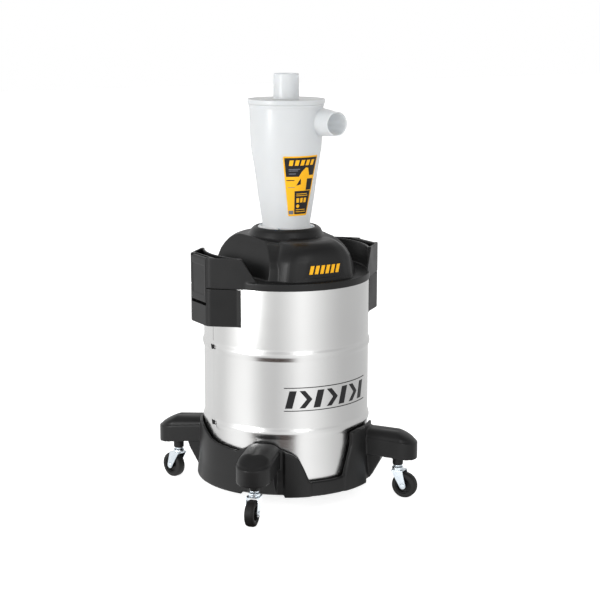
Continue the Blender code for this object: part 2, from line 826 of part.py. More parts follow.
def stem_shape():
    """The stem with its collar, on the Z axis: it pushes into the boss, and the fork turns on its foot."""
    return turned([
        (0, STEM_TOP_Z),
        (STEM_R, STEM_TOP_Z),
        (STEM_R, BOSS_Z - GAP),
        (0.0090, BOSS_Z - GAP),
        (0.0090, FORK_TOP_Z + GAP),
        (STEM_R, FORK_TOP_Z + GAP),
        (STEM_R, SADDLE_TOP_Z + 0.001),
        (0, SADDLE_TOP_Z + 0.001),
    ], 12)


def fork_leg(side):
    """One tapered leg in the plane of the wheel, with a round end at the axle. The trail is along -Y."""
    end = [
        (-TRAIL - 0.0068 * cos(radians(a)), WHEEL_R - 0.0068 * sin(radians(a)))
        for a in range(-20, 161, 30)
    ]
    plan = [(-0.0150, SADDLE_TOP_Z), *end, (0.0110, SADDLE_TOP_Z)]
    inner, outer = sorted((side * FORK_INNER, side * FORK_OUTER))
    return loft([[(x, y, z) for y, z in plan] for x in (inner, outer)])


def fork_shape():
    """A pressed fork on the Z axis: round head, saddle and two legs, bored for the stem and the axle."""
    head = turned([
        (0, FORK_TOP_Z),
        (0.0100, FORK_TOP_Z),
        (0.0118, FORK_TOP_Z - 0.0018),
        (0.0118, SADDLE_TOP_Z - 0.0005),
        (0, SADDLE_TOP_Z - 0.0005),
    ], 18)
    saddle = box((-FORK_OUTER + 0.0002, -0.0145, SADDLE_Z), (FORK_OUTER - 0.0002, 0.0108, SADDLE_TOP_Z - 0.0002))
    axle_y, axle_z = -TRAIL, WHEEL_R
    return combined(
        fork_leg(1),
        ("UNION", saddle),
        ("UNION", fork_leg(-1)),
        ("UNION", head),
        ("DIFFERENCE", rod(STEM_R + HOLE_CLEARANCE, (0, 0, SADDLE_TOP_Z), (0, 0, 0.08), 12)),
        ("DIFFERENCE", rod(AXLE_R + HOLE_CLEARANCE, (-0.03, axle_y, axle_z), (0.03, axle_y, axle_z), 10)),
    )


def about_axle(mesh):
    """Moves a shape turned about Z so that its axis is the axle, across the fork."""
    turn = Matrix.Rotation(pi / 2, 4, "Y")
    return moved(mesh, Matrix.Translation((0, -TRAIL, WHEEL_R)) @ turn)


def axle_shape():
    half = FORK_OUTER + GAP
    profile = [(0, half + 0.0015), (0.0050, half + 0.0015), (0.0050, half), (AXLE_R, half)]
    mirrored = [(r, -z) for r, z in profile[::-1]]
    return about_axle(turned(profile + mirrored, 10))


def tyre_shape():
    shoulder = [
        (TYRE_INNER_R, WHEEL_HALF),
        (WHEEL_R - 0.0040, WHEEL_HALF),
        (WHEEL_R, WHEEL_HALF - 0.0040),
    ]
    return about_axle(turned(shoulder + [(r, -z) for r, z in shoulder[::-1]], 28))


def hub_shape():
    """The wheel's core: a rim, a thin web and a bored boss."""
    half = [
        (AXLE_R + HOLE_CLEARANCE, WHEEL_HALF + 0.0010),
        (0.0062, WHEEL_HALF + 0.0010),
        (0.0062, 0.0030),
        (TYRE_INNER_R - 0.0025, 0.0030),
        (TYRE_INNER_R - 0.0025, WHEEL_HALF - 0.0015),
        (TYRE_INNER_R - GAP, WHEEL_HALF - 0.0015),
    ]
    return about_axle(turned(half + [(r, -z) for r, z in half[::-1]], 18))


def build_casters(zinc, rubber, black):
    stem, fork, axle, tyre, hub = stem_shape(), fork_shape(), axle_shape(), tyre_shape(), hub_shape()
    for name, x_side, y_side, trail_turn in CASTERS:
        stem_place = Vector((CASTER_XY * x_side, CASTER_XY * y_side, 0))
        turn = Matrix.Translation(stem_place) @ about_z(trail_turn)
        axle_place = turn @ Vector((0, -TRAIL, WHEEL_R))
        place(f"caster_{name}_stem", moved(stem, turn), zinc, stem_place)
        swivel = holder(f"swivel_{name}", stem_place)
        spin = holder(f"spin_{name}", axle_place, swivel)
        place(f"caster_{name}_fork", moved(fork, turn), zinc, stem_place, swivel)
        place(f"caster_{name}_axle", moved(axle, turn), zinc, axle_place, swivel)
        place(f"caster_{name}_tyre", moved(tyre, turn), rubber, axle_place, spin)
        place(f"caster_{name}_hub", moved(hub, turn), black, axle_place, spin)


def main():
    clear_scene()
    steel = material("stainless_steel", (0.62, 0.62, 0.60), 0.30, 1.0)
    black = material("black_plastic", (0.030, 0.031, 0.033), 0.45)
    milky = material("milky_plastic", (0.86, 0.89, 0.91), 0.35, 0.0, 0.4)
    rubber = material("black_rubber", (0.020, 0.020, 0.021), 0.70)
    zinc = material("zinc_plate", (0.70, 0.72, 0.75), 0.32, 1.0)
    build_drum(steel)
    build_rivets(zinc)
    build_side_blocks(black, zinc)
    build_lid(black, rubber)
    build_cyclone(milky, zinc)
    build_dolly(black)
    build_casters(zinc, rubber, black)
    for mesh in [m for m in bpy.data.meshes if m.users == 0]:
        bpy.data.meshes.remove(mesh)


main()
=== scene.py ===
"""Looks for the dust collector: its fine shapes, materials, printed marks, studio and camera.

Units are metres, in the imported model's frame: +Z up, the floor at z = 0, the drum's axis on Z, the front
at -Y.
"""

from math import cos, hypot, pi, radians, sin, sqrt

import bmesh
import bpy
from mathutils import Matrix, Vector


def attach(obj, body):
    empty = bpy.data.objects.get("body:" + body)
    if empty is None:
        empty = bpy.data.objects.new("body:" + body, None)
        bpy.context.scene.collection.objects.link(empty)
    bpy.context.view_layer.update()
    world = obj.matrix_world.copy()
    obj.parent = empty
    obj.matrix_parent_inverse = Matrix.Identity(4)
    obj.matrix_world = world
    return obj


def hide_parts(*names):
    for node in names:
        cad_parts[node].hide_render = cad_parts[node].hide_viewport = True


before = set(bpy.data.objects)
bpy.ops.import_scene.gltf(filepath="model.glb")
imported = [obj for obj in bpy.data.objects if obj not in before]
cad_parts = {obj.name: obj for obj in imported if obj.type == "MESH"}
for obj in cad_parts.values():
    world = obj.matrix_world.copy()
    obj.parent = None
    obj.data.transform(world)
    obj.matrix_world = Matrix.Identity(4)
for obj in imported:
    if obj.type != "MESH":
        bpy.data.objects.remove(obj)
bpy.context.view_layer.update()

# --- driving sizes ------------------------------------------------------------------------------

ROUND = 192
SHARP_ANGLE = 40
WALL = 0.004

DRUM_R = 0.170
DRUM_WALL = 0.0012
DRUM_LOW_Z, DRUM_TOP_Z = 0.0460, 0.4570
BEADS = (0.322, 0.164)
BEAD_OUT = 0.003
BEAD_HALF = 0.0125
SEAM_TURN = -90.0
WELD_HALF = 0.0010
WELD_HEIGHTS = (0.336, 0.450)

FLANGE_R = 0.172
FLANGE_LOW_Z, FLANGE_TOP_Z = 0.4514, 0.4663
LIP_R = DRUM_R + 0.0004
UNDERSIDE_Z = 0.4603
DOME_TOP_Z = 0.5425
COLLAR_TOP_Z = 0.5585
COLLAR_BORE_R = 0.0605
SEAT_Z = 0.5445
SEAT_HOLE_R = 0.0465

CYCLONE_LOW_Z, CYCLONE_TOP_Z = 0.5480, 0.8057
CYCLONE_WALL = 0.0025
CYCLONE_FLANGE_TOP_Z = 0.5570
COVER_R = 0.0785
COVER_TOP_Z = 0.8154
OUTLET_TOP_Z = 0.8655
INLET_X, INLET_Z = 0.050, 0.770
INLET_MOUTH_Y, INLET_END_Y = -0.114, -0.006
INLET_R, INLET_ROOT_R, INLET_BORE_R = 0.0243, 0.0285, 0.0215
FINDER_LOW_Z = 0.7275

BLOCK_X = 0.202
BLOCK_HALF = 0.037
BLOCK_TOP_Z = 0.5125
BLOCK_SEAM_Z = 0.4505
BRACKET_LOW_Z = 0.3750
RECESS_X, RECESS_HALF = 0.1905, 0.0318
LATCH_X, LATCH_HALF = 0.1962, 0.0312
LATCH_LOW_Z = 0.4220
PIVOT_X, PIVOT_Z = 0.1965, 0.5060

RING_R, RING_INNER_R = 0.180, 0.1745
SKIRT_R, SKIRT_LOW_Z, NOTCH_Z = 0.187, 0.0370, 0.0438
PAN_Z, PAN_TOP_Z = 0.0410, 0.0455
ARM_TIP_R, ARM_HALF = 0.279, 0.035
ARM_BOTTOM = (0.0960, 0.0836)
ARM_CREASE = (0.1310, 0.1190)
ARM_CROWN = (0.1445, 0.1255)

CASTER_XY = 0.169
STEM_HOLE_R, BOSS_R = 0.0044, 0.011
LEG_END_R = 0.0068
WHEEL_R, WHEEL_HALF = 0.0265, 0.0095
TYRE_INNER_R = 0.0170
TRAIL = 0.016
AXLE_R = 0.003
CASTERS = (
    ("front_left", -1, -1, -47),
    ("front_right", 1, -1, 33),
    ("back_left", -1, 1, -163),
    ("back_right", 1, 1, 158),
)
SIDES = (("left", -1), ("right", 1))


# --- mesh tools -----------------------------------------------------------------------------------


def finished(form):
    bmesh.ops.recalc_face_normals(form, faces=form.faces)
    mesh = bpy.data.meshes.new("shape")
    form.to_mesh(mesh)
    form.free()
    return mesh


def loft(rings, capped=True):
    """A solid through equal loops of points."""
    form = bmesh.new()
    loops = [[form.verts.new(point) for point in ring] for ring in rings]
    count = len(rings[0])
    for low, high in zip(loops, loops[1:]):
        for i in range(count):
            j = (i + 1) % count
            form.faces.new((low[i], low[j], high[j], high[i]))
    if capped:
        form.faces.new(loops[0])
        form.faces.new(loops[-1])
    return finished(form)


def turned(profile, steps=ROUND):
    """A closed profile of (radius, z) turned about Z."""
    form = bmesh.new()
    on_axis = [r < 1e-9 for r, _ in profile]
    poles = [form.verts.new((0, 0, z)) if pole else None for (_, z), pole in zip(profile, on_axis)]
    rings = []
    for k in range(steps):
        angle = 2 * pi * k / steps
        rings.append([
            pole or form.verts.new((r * cos(angle), r * sin(angle), z))
            for (r, z), pole in zip(profile, poles)
        ])
    pairs = [(i, (i + 1) % len(profile)) for i in range(len(profile))]
    for k in range(steps):
        here, there = rings[k], rings[(k + 1) % steps]
        for i, j in pairs:
            if not (on_axis[i] and on_axis[j]):
                form.faces.new(list(dict.fromkeys((here[i], here[j], there[j], there[i]))))
    return finished(form)


def eased(points, radius, steps=4, closed=True, keep=()):
    """The polyline with each corner replaced by a short curve; the points numbered in keep stay sharp."""
    made = []
    last = len(points) - 1
    for i, corner in enumerate(points):
        here = Vector(corner)
        if i in keep or (not closed and i in (0, last)):
            made.append(tuple(here))
            continue
        back = Vector(points[i - 1]) - here
        ahead = Vector(points[(i + 1) % len(points)]) - here
        start = here + back * min(0.45, radius / back.length)
        end = here + ahead * min(0.45, radius / ahead.length)
        for k in range(steps + 1):
            t = k / steps
            made.append(tuple(start * (1 - t) ** 2 + here * 2 * t * (1 - t) + end * t * t))
    return made


def rod(radius, start, end, steps=48):
    start, end = Vector(start), Vector(end)
    length = (end - start).length
    mesh = turned([(0, 0), (radius, 0), (radius, length), (0, length)], steps)
    mesh.transform(Matrix.Translation(start) @ (end - start).to_track_quat("Z", "Y").to_matrix().to_4x4())
    return mesh


def prism(outline, low, high):
    return loft([[(x, y, z) for x, y in outline] for z in (low, high)])


def box(low, high):
    (x0, y0, z0), (x1, y1, z1) = low, high
    return prism([(x0, y0), (x1, y0), (x1, y1), (x0, y1)], z0, z1)


def moved(mesh, matrix):
    copy = mesh.copy()
    copy.transform(matrix)
    if matrix.determinant() < 0:
        copy.flip_normals()
    return copy


def about_z(degrees):
    return Matrix.Rotation(radians(degrees), 4, "Z")


def with_modifiers(mesh, add):
    """The mesh after the modifiers that add(object) puts on it."""
    obj = bpy.data.objects.new("work", mesh)
    bpy.context.scene.collection.objects.link(obj)
    add(obj)
    graph = bpy.context.evaluated_depsgraph_get()
    made = bpy.data.meshes.new_from_object(obj.evaluated_get(graph))
    bpy.data.objects.remove(obj)
    return made


def combined(start, *steps):
    """The start mesh after each step, ("UNION" or "DIFFERENCE", other mesh), in turn."""
    result = start
    for operation, mesh in steps:
        helper = bpy.data.objects.new("helper", mesh)
        bpy.context.scene.collection.objects.link(helper)

        def add(obj):
            modifier = obj.modifiers.new(operation, "BOOLEAN")
            modifier.operation = operation
            modifier.object = helper

        result = with_modifiers(result, add)
        bpy.data.objects.remove(helper)
    return result


def joined(*meshes):
    """The meshes as one, each still closed: a moulding of them is their union."""
    form = bmesh.new()
    for mesh in meshes:
        form.from_mesh(mesh)
    made = bpy.data.meshes.new("shape")
    form.to_mesh(made)
    form.free()
    return made


def moulded(mesh, voxel, rounds):
    """The solid with its edges rounded and its joins filleted, as a moulding's are."""

    def add(obj):
        remesh = obj.modifiers.new("remesh", "REMESH")
        remesh.mode = "VOXEL"
        remesh.voxel_size = voxel
        smooth = obj.modifiers.new("smooth", "SMOOTH")
        smooth.factor = 0.5
        smooth.iterations = rounds

    return with_modifiers(mesh, add)


def place(name, mesh, finish, body, replaces=()):
    """Adds the mesh, given in the model's frame, as a piece that rides on this body."""
    mesh = mesh.copy()
    mesh.name = name
    mesh.materials.clear()
    mesh.materials.append(finish)
    mesh.shade_smooth()
    mesh.set_sharp_from_angle(angle=radians(SHARP_ANGLE))
    obj = bpy.data.objects.new(name, mesh)
    bpy.context.scene.collection.objects.link(obj)
    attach(obj, body)
    if replaces:
        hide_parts(*replaces)
    return obj


# --- materials ------------------------------------------------------------------------------------


class Nodes:
    """A material's node tree, with short calls for the nodes used here."""

    def __init__(self, name):
        self.material = bpy.data.materials.new(name)
        self.material.use_nodes = True
        self.tree = self.material.node_tree
        self.shader = self.tree.nodes["Principled BSDF"]
        self.place = self.add("ShaderNodeTexCoord").outputs["Object"]

    def add(self, kind, **settings):
        node = self.tree.nodes.new(kind)
        for key, value in settings.items():
            setattr(node, key, value)
        return node

    def link(self, source, target):
        self.tree.links.new(source, target)

    def scaled(self, scale, source=None):
        node = self.add("ShaderNodeMapping")
        node.inputs["Scale"].default_value = scale
        self.link(source or self.place, node.inputs["Vector"])
        return node.outputs["Vector"]

    def noise(self, scale, detail=3.0, vector=None, rough=0.5):
        node = self.add("ShaderNodeTexNoise")
        node.inputs["Scale"].default_value = scale
        node.inputs["Detail"].default_value = detail
        node.inputs["Roughness"].default_value = rough
        self.link(vector or self.place, node.inputs["Vector"])
        return node.outputs["Fac"]

    def ramp(self, source, low, high, start=0.3, end=0.7):
        """Maps a value between two grey levels or two colours."""
        node = self.add("ShaderNodeValToRGB")
        first, second = node.color_ramp.elements
        first.position, second.position = start, end
        first.color = (*low, 1) if isinstance(low, tuple) else (low, low, low, 1)
        second.color = (*high, 1) if isinstance(high, tuple) else (high, high, high, 1)
        self.link(source, node.inputs["Fac"])
        return node.outputs["Color"]

    def bump(self, height, strength, distance, under=None):
        node = self.add("ShaderNodeBump")
        node.inputs["Strength"].default_value = strength
        node.inputs["Distance"].default_value = distance
        self.link(height, node.inputs["Height"])
        if under:
            self.link(under, node.inputs["Normal"])
        return node.outputs["Normal"]

    def mix(self, factor, low, high):
        node = self.add("ShaderNodeMix", data_type="RGBA")
        self.link(factor, node.inputs["Factor"])
        for socket, value in ((node.inputs[6], low), (node.inputs[7], high)):
            if isinstance(value, tuple):
                socket.default_value = (*value, 1)
            else:
                self.link(value, socket)
        return node.outputs[2]

    def set(self, **values):
        names = {"color": "Base Color", "rough": "Roughness", "metal": "Metallic", "normal": "Normal"}
        for key, value in values.items():
            socket = self.shader.inputs[names.get(key, key)]
            if isinstance(value, bpy.types.NodeSocket):
                self.link(value, socket)
            elif isinstance(value, tuple):
                socket.default_value = (*value, 1) if len(value) == 3 and "Color" in socket.name else value
            else:
                socket.default_value = value

    def fixed(self, name, value):
        self.shader.inputs[name].default_value = value


def steel_finish(name, level):
    """Satin stainless: fine brushing round the drum, faint rolling variation."""
    made = Nodes(name)
    streaks = made.noise(1.0, 4.0, made.scaled((5, 5, 700)), 0.6)
    cloud = made.noise(5.0, 3.0)
    made.set(
        color=made.mix(
            made.ramp(cloud, 0.0, 1.0),
            (level, level, level * 0.995),
            (level * 1.07, level * 1.07, level * 1.06),
        ),
        rough=made.ramp(streaks, 0.225, 0.265),
        normal=made.bump(streaks, 0.010, 0.0001),
    )
    made.fixed("Metallic", 1.0)
    made.fixed("Anisotropic", 0.45)
    tangent = made.add("ShaderNodeTangent", direction_type="RADIAL", axis="Z")
    made.link(tangent.outputs["Tangent"], made.shader.inputs["Tangent"])
    return made.material


def moulding_finish(name, level, rough_low, rough_high, shine=0.24):
    """Moulded plastic: a fine spark-eroded grain, slightly paler sharp edges and uneven gloss."""
    made = Nodes(name)
    grain = made.noise(1400.0, 2.0)
    cloud = made.noise(18.0, 4.0)
    edge = made.add("ShaderNodeNewGeometry").outputs["Pointiness"]
    body = made.mix(
        made.ramp(cloud, 0.0, 1.0),
        (level * 0.92, level * 0.93, level * 0.95),
        (level * 1.10, level * 1.10, level * 1.12),
    )
    paler_edges = made.mix(made.ramp(edge, 0.0, 0.55, 0.515, 0.60), body, (level * 2.2, level * 2.2, level * 2.25))
    made.set(
        color=paler_edges,
        rough=made.ramp(cloud, rough_low, rough_high),
        normal=made.bump(grain, 0.22, 0.00012),
    )
    made.fixed("Specular IOR Level", shine)
    return made.material


def milky_finish(name, painted_top_level):
    """Milky polypropylene, softly lit through, with a faint painted glow; its upward faces get a painted
    tone, lighter or darker than its sides.
    """
    made = Nodes(name)
    level = made.add("ShaderNodeSeparateXYZ")
    made.link(made.add("ShaderNodeNewGeometry").outputs["Normal"], level.inputs[0])
    # Painted light and shade: faces that look straight up take their own tone, lighter on the wall and
    # darker, as shade, on the cover's top.
    flat = made.ramp(level.outputs["Z"], 0.0, 1.0, 0.93, 0.99)
    cloud = made.noise(9.0, 3.0)
    peel = made.noise(160.0, 2.0)
    made.set(
        color=made.mix(
            flat,
            made.mix(made.ramp(cloud, 0.0, 1.0), (0.75, 0.775, 0.79), (0.78, 0.80, 0.815)),
            (painted_top_level, painted_top_level, painted_top_level * 0.99),
        ),
        rough=made.ramp(cloud, 0.30, 0.40),
        normal=made.bump(peel, 0.06, 0.0003),
    )
    # Painted glow: a faint emission standing in for light passing through the plastic.
    made.fixed("Emission Color", (1.0, 1.0, 1.0, 1.0))
    made.fixed("Emission Strength", 0.055)
    made.fixed("Transmission Weight", 0.42)
    made.fixed("IOR", 1.35)
    made.fixed("Subsurface Weight", 0.35)
    made.fixed("Subsurface Radius", (0.012, 0.013, 0.015))
    made.fixed("Subsurface Scale", 1.0)
    made.fixed("Coat Weight", 0.25)
    made.fixed("Coat Roughness", 0.12)
    return made.material


def zinc_finish():
    """Bright zinc plate: a bluish metal with a fine spangle."""
    made = Nodes("zinc_bright")
    cells = made.add("ShaderNodeTexVoronoi")
    cells.inputs["Scale"].default_value = 420.0
    made.link(made.place, cells.inputs["Vector"])
    cloud = made.noise(60.0, 3.0)
    made.set(
        color=made.mix(made.ramp(cloud, 0.0, 1.0), (0.70, 0.77, 0.83), (0.82, 0.88, 0.92)),
        rough=made.ramp(cells.outputs["Distance"], 0.20, 0.36, 0.1, 0.8),
        normal=made.bump(cloud, 0.05, 0.0002),
    )
    made.fixed("Metallic", 1.0)
    return made.material


def rubber_finish(name, level):
    made = Nodes(name)
    cloud = made.noise(40.0, 4.0)
    dust = made.noise(300.0, 3.0)
    made.set(
        color=made.mix(
            made.ramp(cloud, 0.0, 1.0),
            (level, level, level),
            (level * 1.5, level * 1.5, level * 1.45),
        ),
        rough=made.ramp(cloud, 0.50, 0.66),
        normal=made.bump(dust, 0.12, 0.0002),
    )
    made.fixed("Specular IOR Level", 0.3)
    return made.material


def ink_finish(name, colour, rough=0.38):
    """Printed film, also used for the painted seam shade: an even colour with the faint mottle of ink."""
    made = Nodes(name)
    mottle = made.noise(700.0, 2.0)
    darker = tuple(c * 0.93 for c in colour)
    made.set(
        color=made.mix(made.ramp(mottle, 0.0, 1.0), darker, colour),
        rough=made.ramp(mottle, rough - 0.04, rough + 0.04),
        normal=made.bump(mottle, 0.03, 0.0001),
    )
    made.fixed("Specular IOR Level", 0.22)
    return made.material


STEEL = steel_finish("stainless_satin", 0.60)
WELD = steel_finish("stainless_weld", 0.42)
BLACK = moulding_finish("black_moulding", 0.0100, 0.34, 0.44)
GLOSS_BLACK = moulding_finish("black_hub", 0.008, 0.30, 0.40)
# One milky plastic in two copies: the wall's upward faces painted lighter, the cover's top painted darker as
# shade.
MILKY = milky_finish("milky_wall", 0.90)
MILKY_SHADED_TOP = milky_finish("milky_shaded_top", 0.52)
ZINC = zinc_finish()
RUBBER = rubber_finish("seal_rubber", 0.008)
TYRE = rubber_finish("wheel_rubber", 0.009)
YELLOW = ink_finish("print_yellow", (1.0, 0.50, 0.012))
PRINT_BLACK = ink_finish("print_black", (0.013, 0.013, 0.014))
PRINT_GREY = ink_finish("print_grey", (0.16, 0.17, 0.20))
# Painted shade: a near-black finish for the plates that stand in for the shadow inside the seam notches.
SEAM_SHADE = ink_finish("seam_shadow", (0.006, 0.006, 0.006), 0.8)


# --- drum -----------------------------------------------------------------------------------------


def bead_share(turn):
    """How much of the rolled beads stands at this turn: they flatten out at the side seam."""
    away = abs((turn - SEAM_TURN + 180) % 360 - 180)
    return min(1.0, max(0.0, (away - 3.6) / 3.0)) ** 0.5


def drum_radius(z, turn, inset):
    out = 0.0
    for height in BEADS:
        offset = (z - height) / BEAD_HALF
        if abs(offset) < 1:
            out = BEAD_OUT * (0.5 + 0.5 * cos(pi * offset)) ** 0.8
    away = abs((turn - SEAM_TURN + 180) % 360 - 180)
    weld = 0.00035 * max(0.0, 1 - away / 0.35)
    return DRUM_R + out * bead_share(turn) - inset - weld


def drum_heights():
    heights = [DRUM_TOP_Z - 0.004]
    for centre in BEADS:
        heights += [centre + BEAD_HALF * k / 9 for k in range(9, -10, -1)]
    return heights + [0.100, DRUM_LOW_Z]


def drum_section(turn):
    """The wall from the rolled rim down its outer face and back up its inner face."""
    heights = drum_heights()
    rim_r, rim_z = 0.0019, DRUM_TOP_Z - 0.0019
    rim = [
        (DRUM_R - rim_r + rim_r * cos(radians(a)), rim_z + rim_r * sin(radians(a)))
        for a in range(205, -31, -26)
    ]
    outer = [(drum_radius(z, turn, 0), z) for z in heights]
    inner = [(drum_radius(z, turn, DRUM_WALL), z) for z in heights[::-1]]
    return rim + outer + inner


def build_drum():
    turns = [k * 360 / ROUND for k in range(ROUND)]
    offsets = [k * 0.18 for k in range(-3, 4)] + [-5, -4, -3, -2, 2, 3, 4, 5]
    fine = [SEAM_TURN + 360 + offset for offset in offsets]
    turns = sorted(set(round(t, 3) for t in turns + fine))
    rings = []
    for turn in turns:
        a = radians(turn)
        rings.append([(r * sin(a), -r * cos(a), z) for r, z in drum_section(turn)])
    form = bmesh.new()
    loops = [[form.verts.new(point) for point in ring] for ring in rings]
    count = len(loops[0])
    for here, there in zip(loops, loops[1:] + loops[:1]):
        for i in range(count):
            j = (i + 1) % count
            form.faces.new((here[i], here[j], there[j], there[i]))
    place("drum", finished(form), STEEL, "tank", ["drum_shell"])
    rim = DRUM_R - DRUM_WALL - 0.0003
    floor = eased([
        (0.0, DRUM_LOW_Z + 0.0015), (rim - 0.002, DRUM_LOW_Z + 0.0015), (rim - 0.002, DRUM_LOW_Z + 0.012),
        (rim, DRUM_LOW_Z + 0.012), (rim, DRUM_LOW_Z), (0.0, DRUM_LOW_Z),
    ], 0.0012, 3, True, (0, 5))
    place("drum_floor", turned(floor), STEEL, "tank", ["drum_bottom"])
    # Painted shade: a thin near-black plate over each notch where the beads stop at the side seam, standing
    # in for the shadow in the gap.
    for number, height in enumerate(BEADS, 1):
        outline = [(u, v + height) for u, v in seam_gap_outline()]
        gap = curved_outline(outline, lambda z: DRUM_R, 0.0009, SEAM_TURN - 0.3, 0.0012)
        place(f"seam_gap_{number}", gap, SEAM_SHADE, "tank")
    strip = rectangle(-WELD_HALF, WELD_HALF, *WELD_HEIGHTS)
    line = curved_outline(strip, lambda z: DRUM_R, 0.0002, SEAM_TURN, 0.0008)
    place("seam_weld", line, WELD, "tank")


def seam_gap_outline():
    return [
        (-0.0080, 0.0052), (-0.0020, 0.0040), (0.0020, 0.0060), (0.0062, 0.0030), (0.0040, 0.0006),
        (0.0074, -0.0030), (0.0016, -0.0026), (-0.0040, -0.0050), (-0.0066, -0.0010),
    ]


# --- prints ---------------------------------------------------------------------------------------


def curved_outline(outline, radius_at, proud, turn, thick=0.0004, step=0.004):
    """A thin plate with this outline, (distance round, height), laid on a turned surface at this turn."""
    form = bmesh.new()
    form.faces.new([form.verts.new((u, v, 0)) for u, v in outline])
    for axis in (0, 1):
        low, high = min(p[axis] for p in outline), max(p[axis] for p in outline)
        cuts = int((high - low) / (step if axis == 0 else 0.012))
        normal = (1, 0, 0) if axis == 0 else (0, 1, 0)
        for k in range(1, cuts):
            level = low + (high - low) * k / cuts
            everything = form.verts[:] + form.edges[:] + form.faces[:]
            point = [level * n for n in normal]
            bmesh.ops.bisect_plane(form, geom=everything, plane_co=point, plane_no=normal)
    made = bmesh.ops.extrude_face_region(form, geom=form.faces[:])
    for part in made["geom"]:
        if isinstance(part, bmesh.types.BMVert):
            part.co.z = -thick
    for vert in form.verts:
        base = radius_at(vert.co.y)
        angle = radians(turn) + vert.co.x / base
        r = base + proud + vert.co.z
        vert.co = (r * sin(angle), -r * cos(angle), vert.co.y)
    return finished(form)


def slanted_bar(start, low, high, width, lean=0.35):
    """A parallelogram that leans to the right."""
    shift = (high - low) * lean
    return [(start, low), (start + width, low), (start + width + shift, high), (start + shift, high)]


def chevron(start, low, high, width):
    """An arrow shape that points to the right."""
    middle, reach = (low + high) / 2, (high - low) * 0.42
    return [
        (start, low), (start + width, low), (start + width + reach, middle), (start + width, high),
        (start, high), (start + reach, middle),
    ]


MARK_LOW_Z, MARK_HIGH_Z = 0.2105, 0.2590
MARK_FROM, MARK_TO = -31.5, 38.0
MARK_LINE = 0.0017


def build_drum_mark():
    """A printed band of plain arrows and bars between two fine lines."""
    reach = [radians(turn) * DRUM_R for turn in (MARK_FROM, MARK_TO)]
    for name, z in (("low", MARK_LOW_Z), ("high", MARK_HIGH_Z - MARK_LINE)):
        line = [(reach[0], z), (reach[1], z), (reach[1], z + MARK_LINE), (reach[0], z + MARK_LINE)]
        place(f"mark_line_{name}", curved_outline(line, lambda z: DRUM_R, 0.0003, 0), PRINT_BLACK, "tank")
    low, high = MARK_LOW_Z + 0.006, MARK_HIGH_Z - 0.007
    count = 7
    pitch = (reach[1] - reach[0] - 0.004) / count
    for k in range(count):
        start = reach[0] + 0.002 + pitch * k
        if k % 2:
            outline = chevron(start, low, high, pitch * 0.40)
        else:
            outline = slanted_bar(start, low, high, pitch * 0.50, 0.25)
        shape = curved_outline(outline, lambda z: DRUM_R, 0.0003, 0)
        place(f"mark_shape_{k + 1}", shape, PRINT_BLACK, "tank")


# Outer radius of the cyclone's wall at each height, top to bottom
CONE = (
    (0.0750, 0.8000), (0.0740, 0.7600), (0.0720, 0.7200), (0.0710, 0.7120), (0.0680, 0.6960),
    (0.0630, 0.6630), (0.0565, 0.6140), (0.0490, 0.5650),
)
LABEL_HIGH = (0.7055, -35.6, 33.6)
LABEL_LOW = (0.5840, -25.6, 20.2)


def cone_radius(z):
    for (high_r, high_z), (low_r, low_z) in zip(CONE, CONE[1:]):
        if z >= low_z:
            return low_r + (high_r - low_r) * (z - low_z) / (high_z - low_z)
    return CONE[-1][0]


def label_point(across, up):
    """A point of the label, both shares from 0 to 1, as (distance round, height)."""
    z = LABEL_LOW[0] + (LABEL_HIGH[0] - LABEL_LOW[0]) * up
    left = LABEL_LOW[1] + (LABEL_HIGH[1] - LABEL_LOW[1]) * up
    right = LABEL_LOW[2] + (LABEL_HIGH[2] - LABEL_LOW[2]) * up
    return radians(left + (right - left) * across) * cone_radius(z), z


def rectangle(left, right, low, high):
    return [(left, low), (right, low), (right, high), (left, high)]


def label_shapes():
    """Name, finish, how far it lies on top, and outline in shares of the label."""
    yield "ground", YELLOW, 0, eased(rectangle(0.0, 1.0, 0.0, 1.0), 0.03, 4)
    yield "panel_top", PRINT_BLACK, 1, [
        (0.03, 0.66), (0.42, 0.66), (0.50, 0.74), (0.62, 0.81), (0.70, 0.80), (0.78, 0.675),
        (0.965, 0.675), (0.97, 0.975), (0.03, 0.975),
    ]
    for k in range(5):
        start = 0.13 + 0.155 * k
        yield f"bar_{k + 1}", YELLOW, 2, [
            (start, 0.845), (start + 0.10, 0.845), (start + 0.13, 0.935), (start + 0.03, 0.935),
        ]
    for k, high in enumerate((0.79, 0.765, 0.715)):
        yield f"rule_{k + 1}", PRINT_GREY, 2, rectangle(0.12, 0.44 - 0.06 * k, high - 0.012, high)
    yield "panel_side", PRINT_BLACK, 1, rectangle(0.72, 0.96, 0.43, 0.62)
    yield "cone_shade", PRINT_BLACK, 1, [(0.34, 0.51), (0.50, 0.53), (0.49, 0.63), (0.42, 0.58)]
    yield "rule_left", PRINT_BLACK, 1, rectangle(0.03, 0.28, 0.592, 0.608)
    yield "rule_left_low", PRINT_GREY, 1, rectangle(0.06, 0.30, 0.478, 0.486)
    yield "panel_low", PRINT_BLACK, 1, rectangle(0.29, 0.94, 0.03, 0.42)
    yield "panel_corner", PRINT_GREY, 1, rectangle(0.03, 0.25, 0.03, 0.092)
    for k, (low, right) in enumerate(((0.365, 0.80), (0.335, 0.84), (0.10, 0.82), (0.065, 0.86))):
        yield f"low_rule_{k + 1}", YELLOW, 2, rectangle(0.36, right, low, low + 0.010)
    for k in range(3):
        start = 0.37 + 0.16 * k
        yield f"low_block_{k + 1}", YELLOW, 2, rectangle(start, start + 0.11, 0.225, 0.300)
    disc = [(0.44 + 0.07 * cos(a * pi / 8), 0.165 + 0.030 * sin(a * pi / 8)) for a in range(16)]
    yield "low_disc", YELLOW, 2, disc


def build_label():
    for name, finish, layer, shares in label_shapes():
        outline = [label_point(*share) for share in shares]
        plate = curved_outline(outline, cone_radius, 0.0004 + 0.00012 * layer, 0)
        place(f"label_{name}", plate, finish, "lid")


# --- lid --------------------------------------------------------------------------------------------

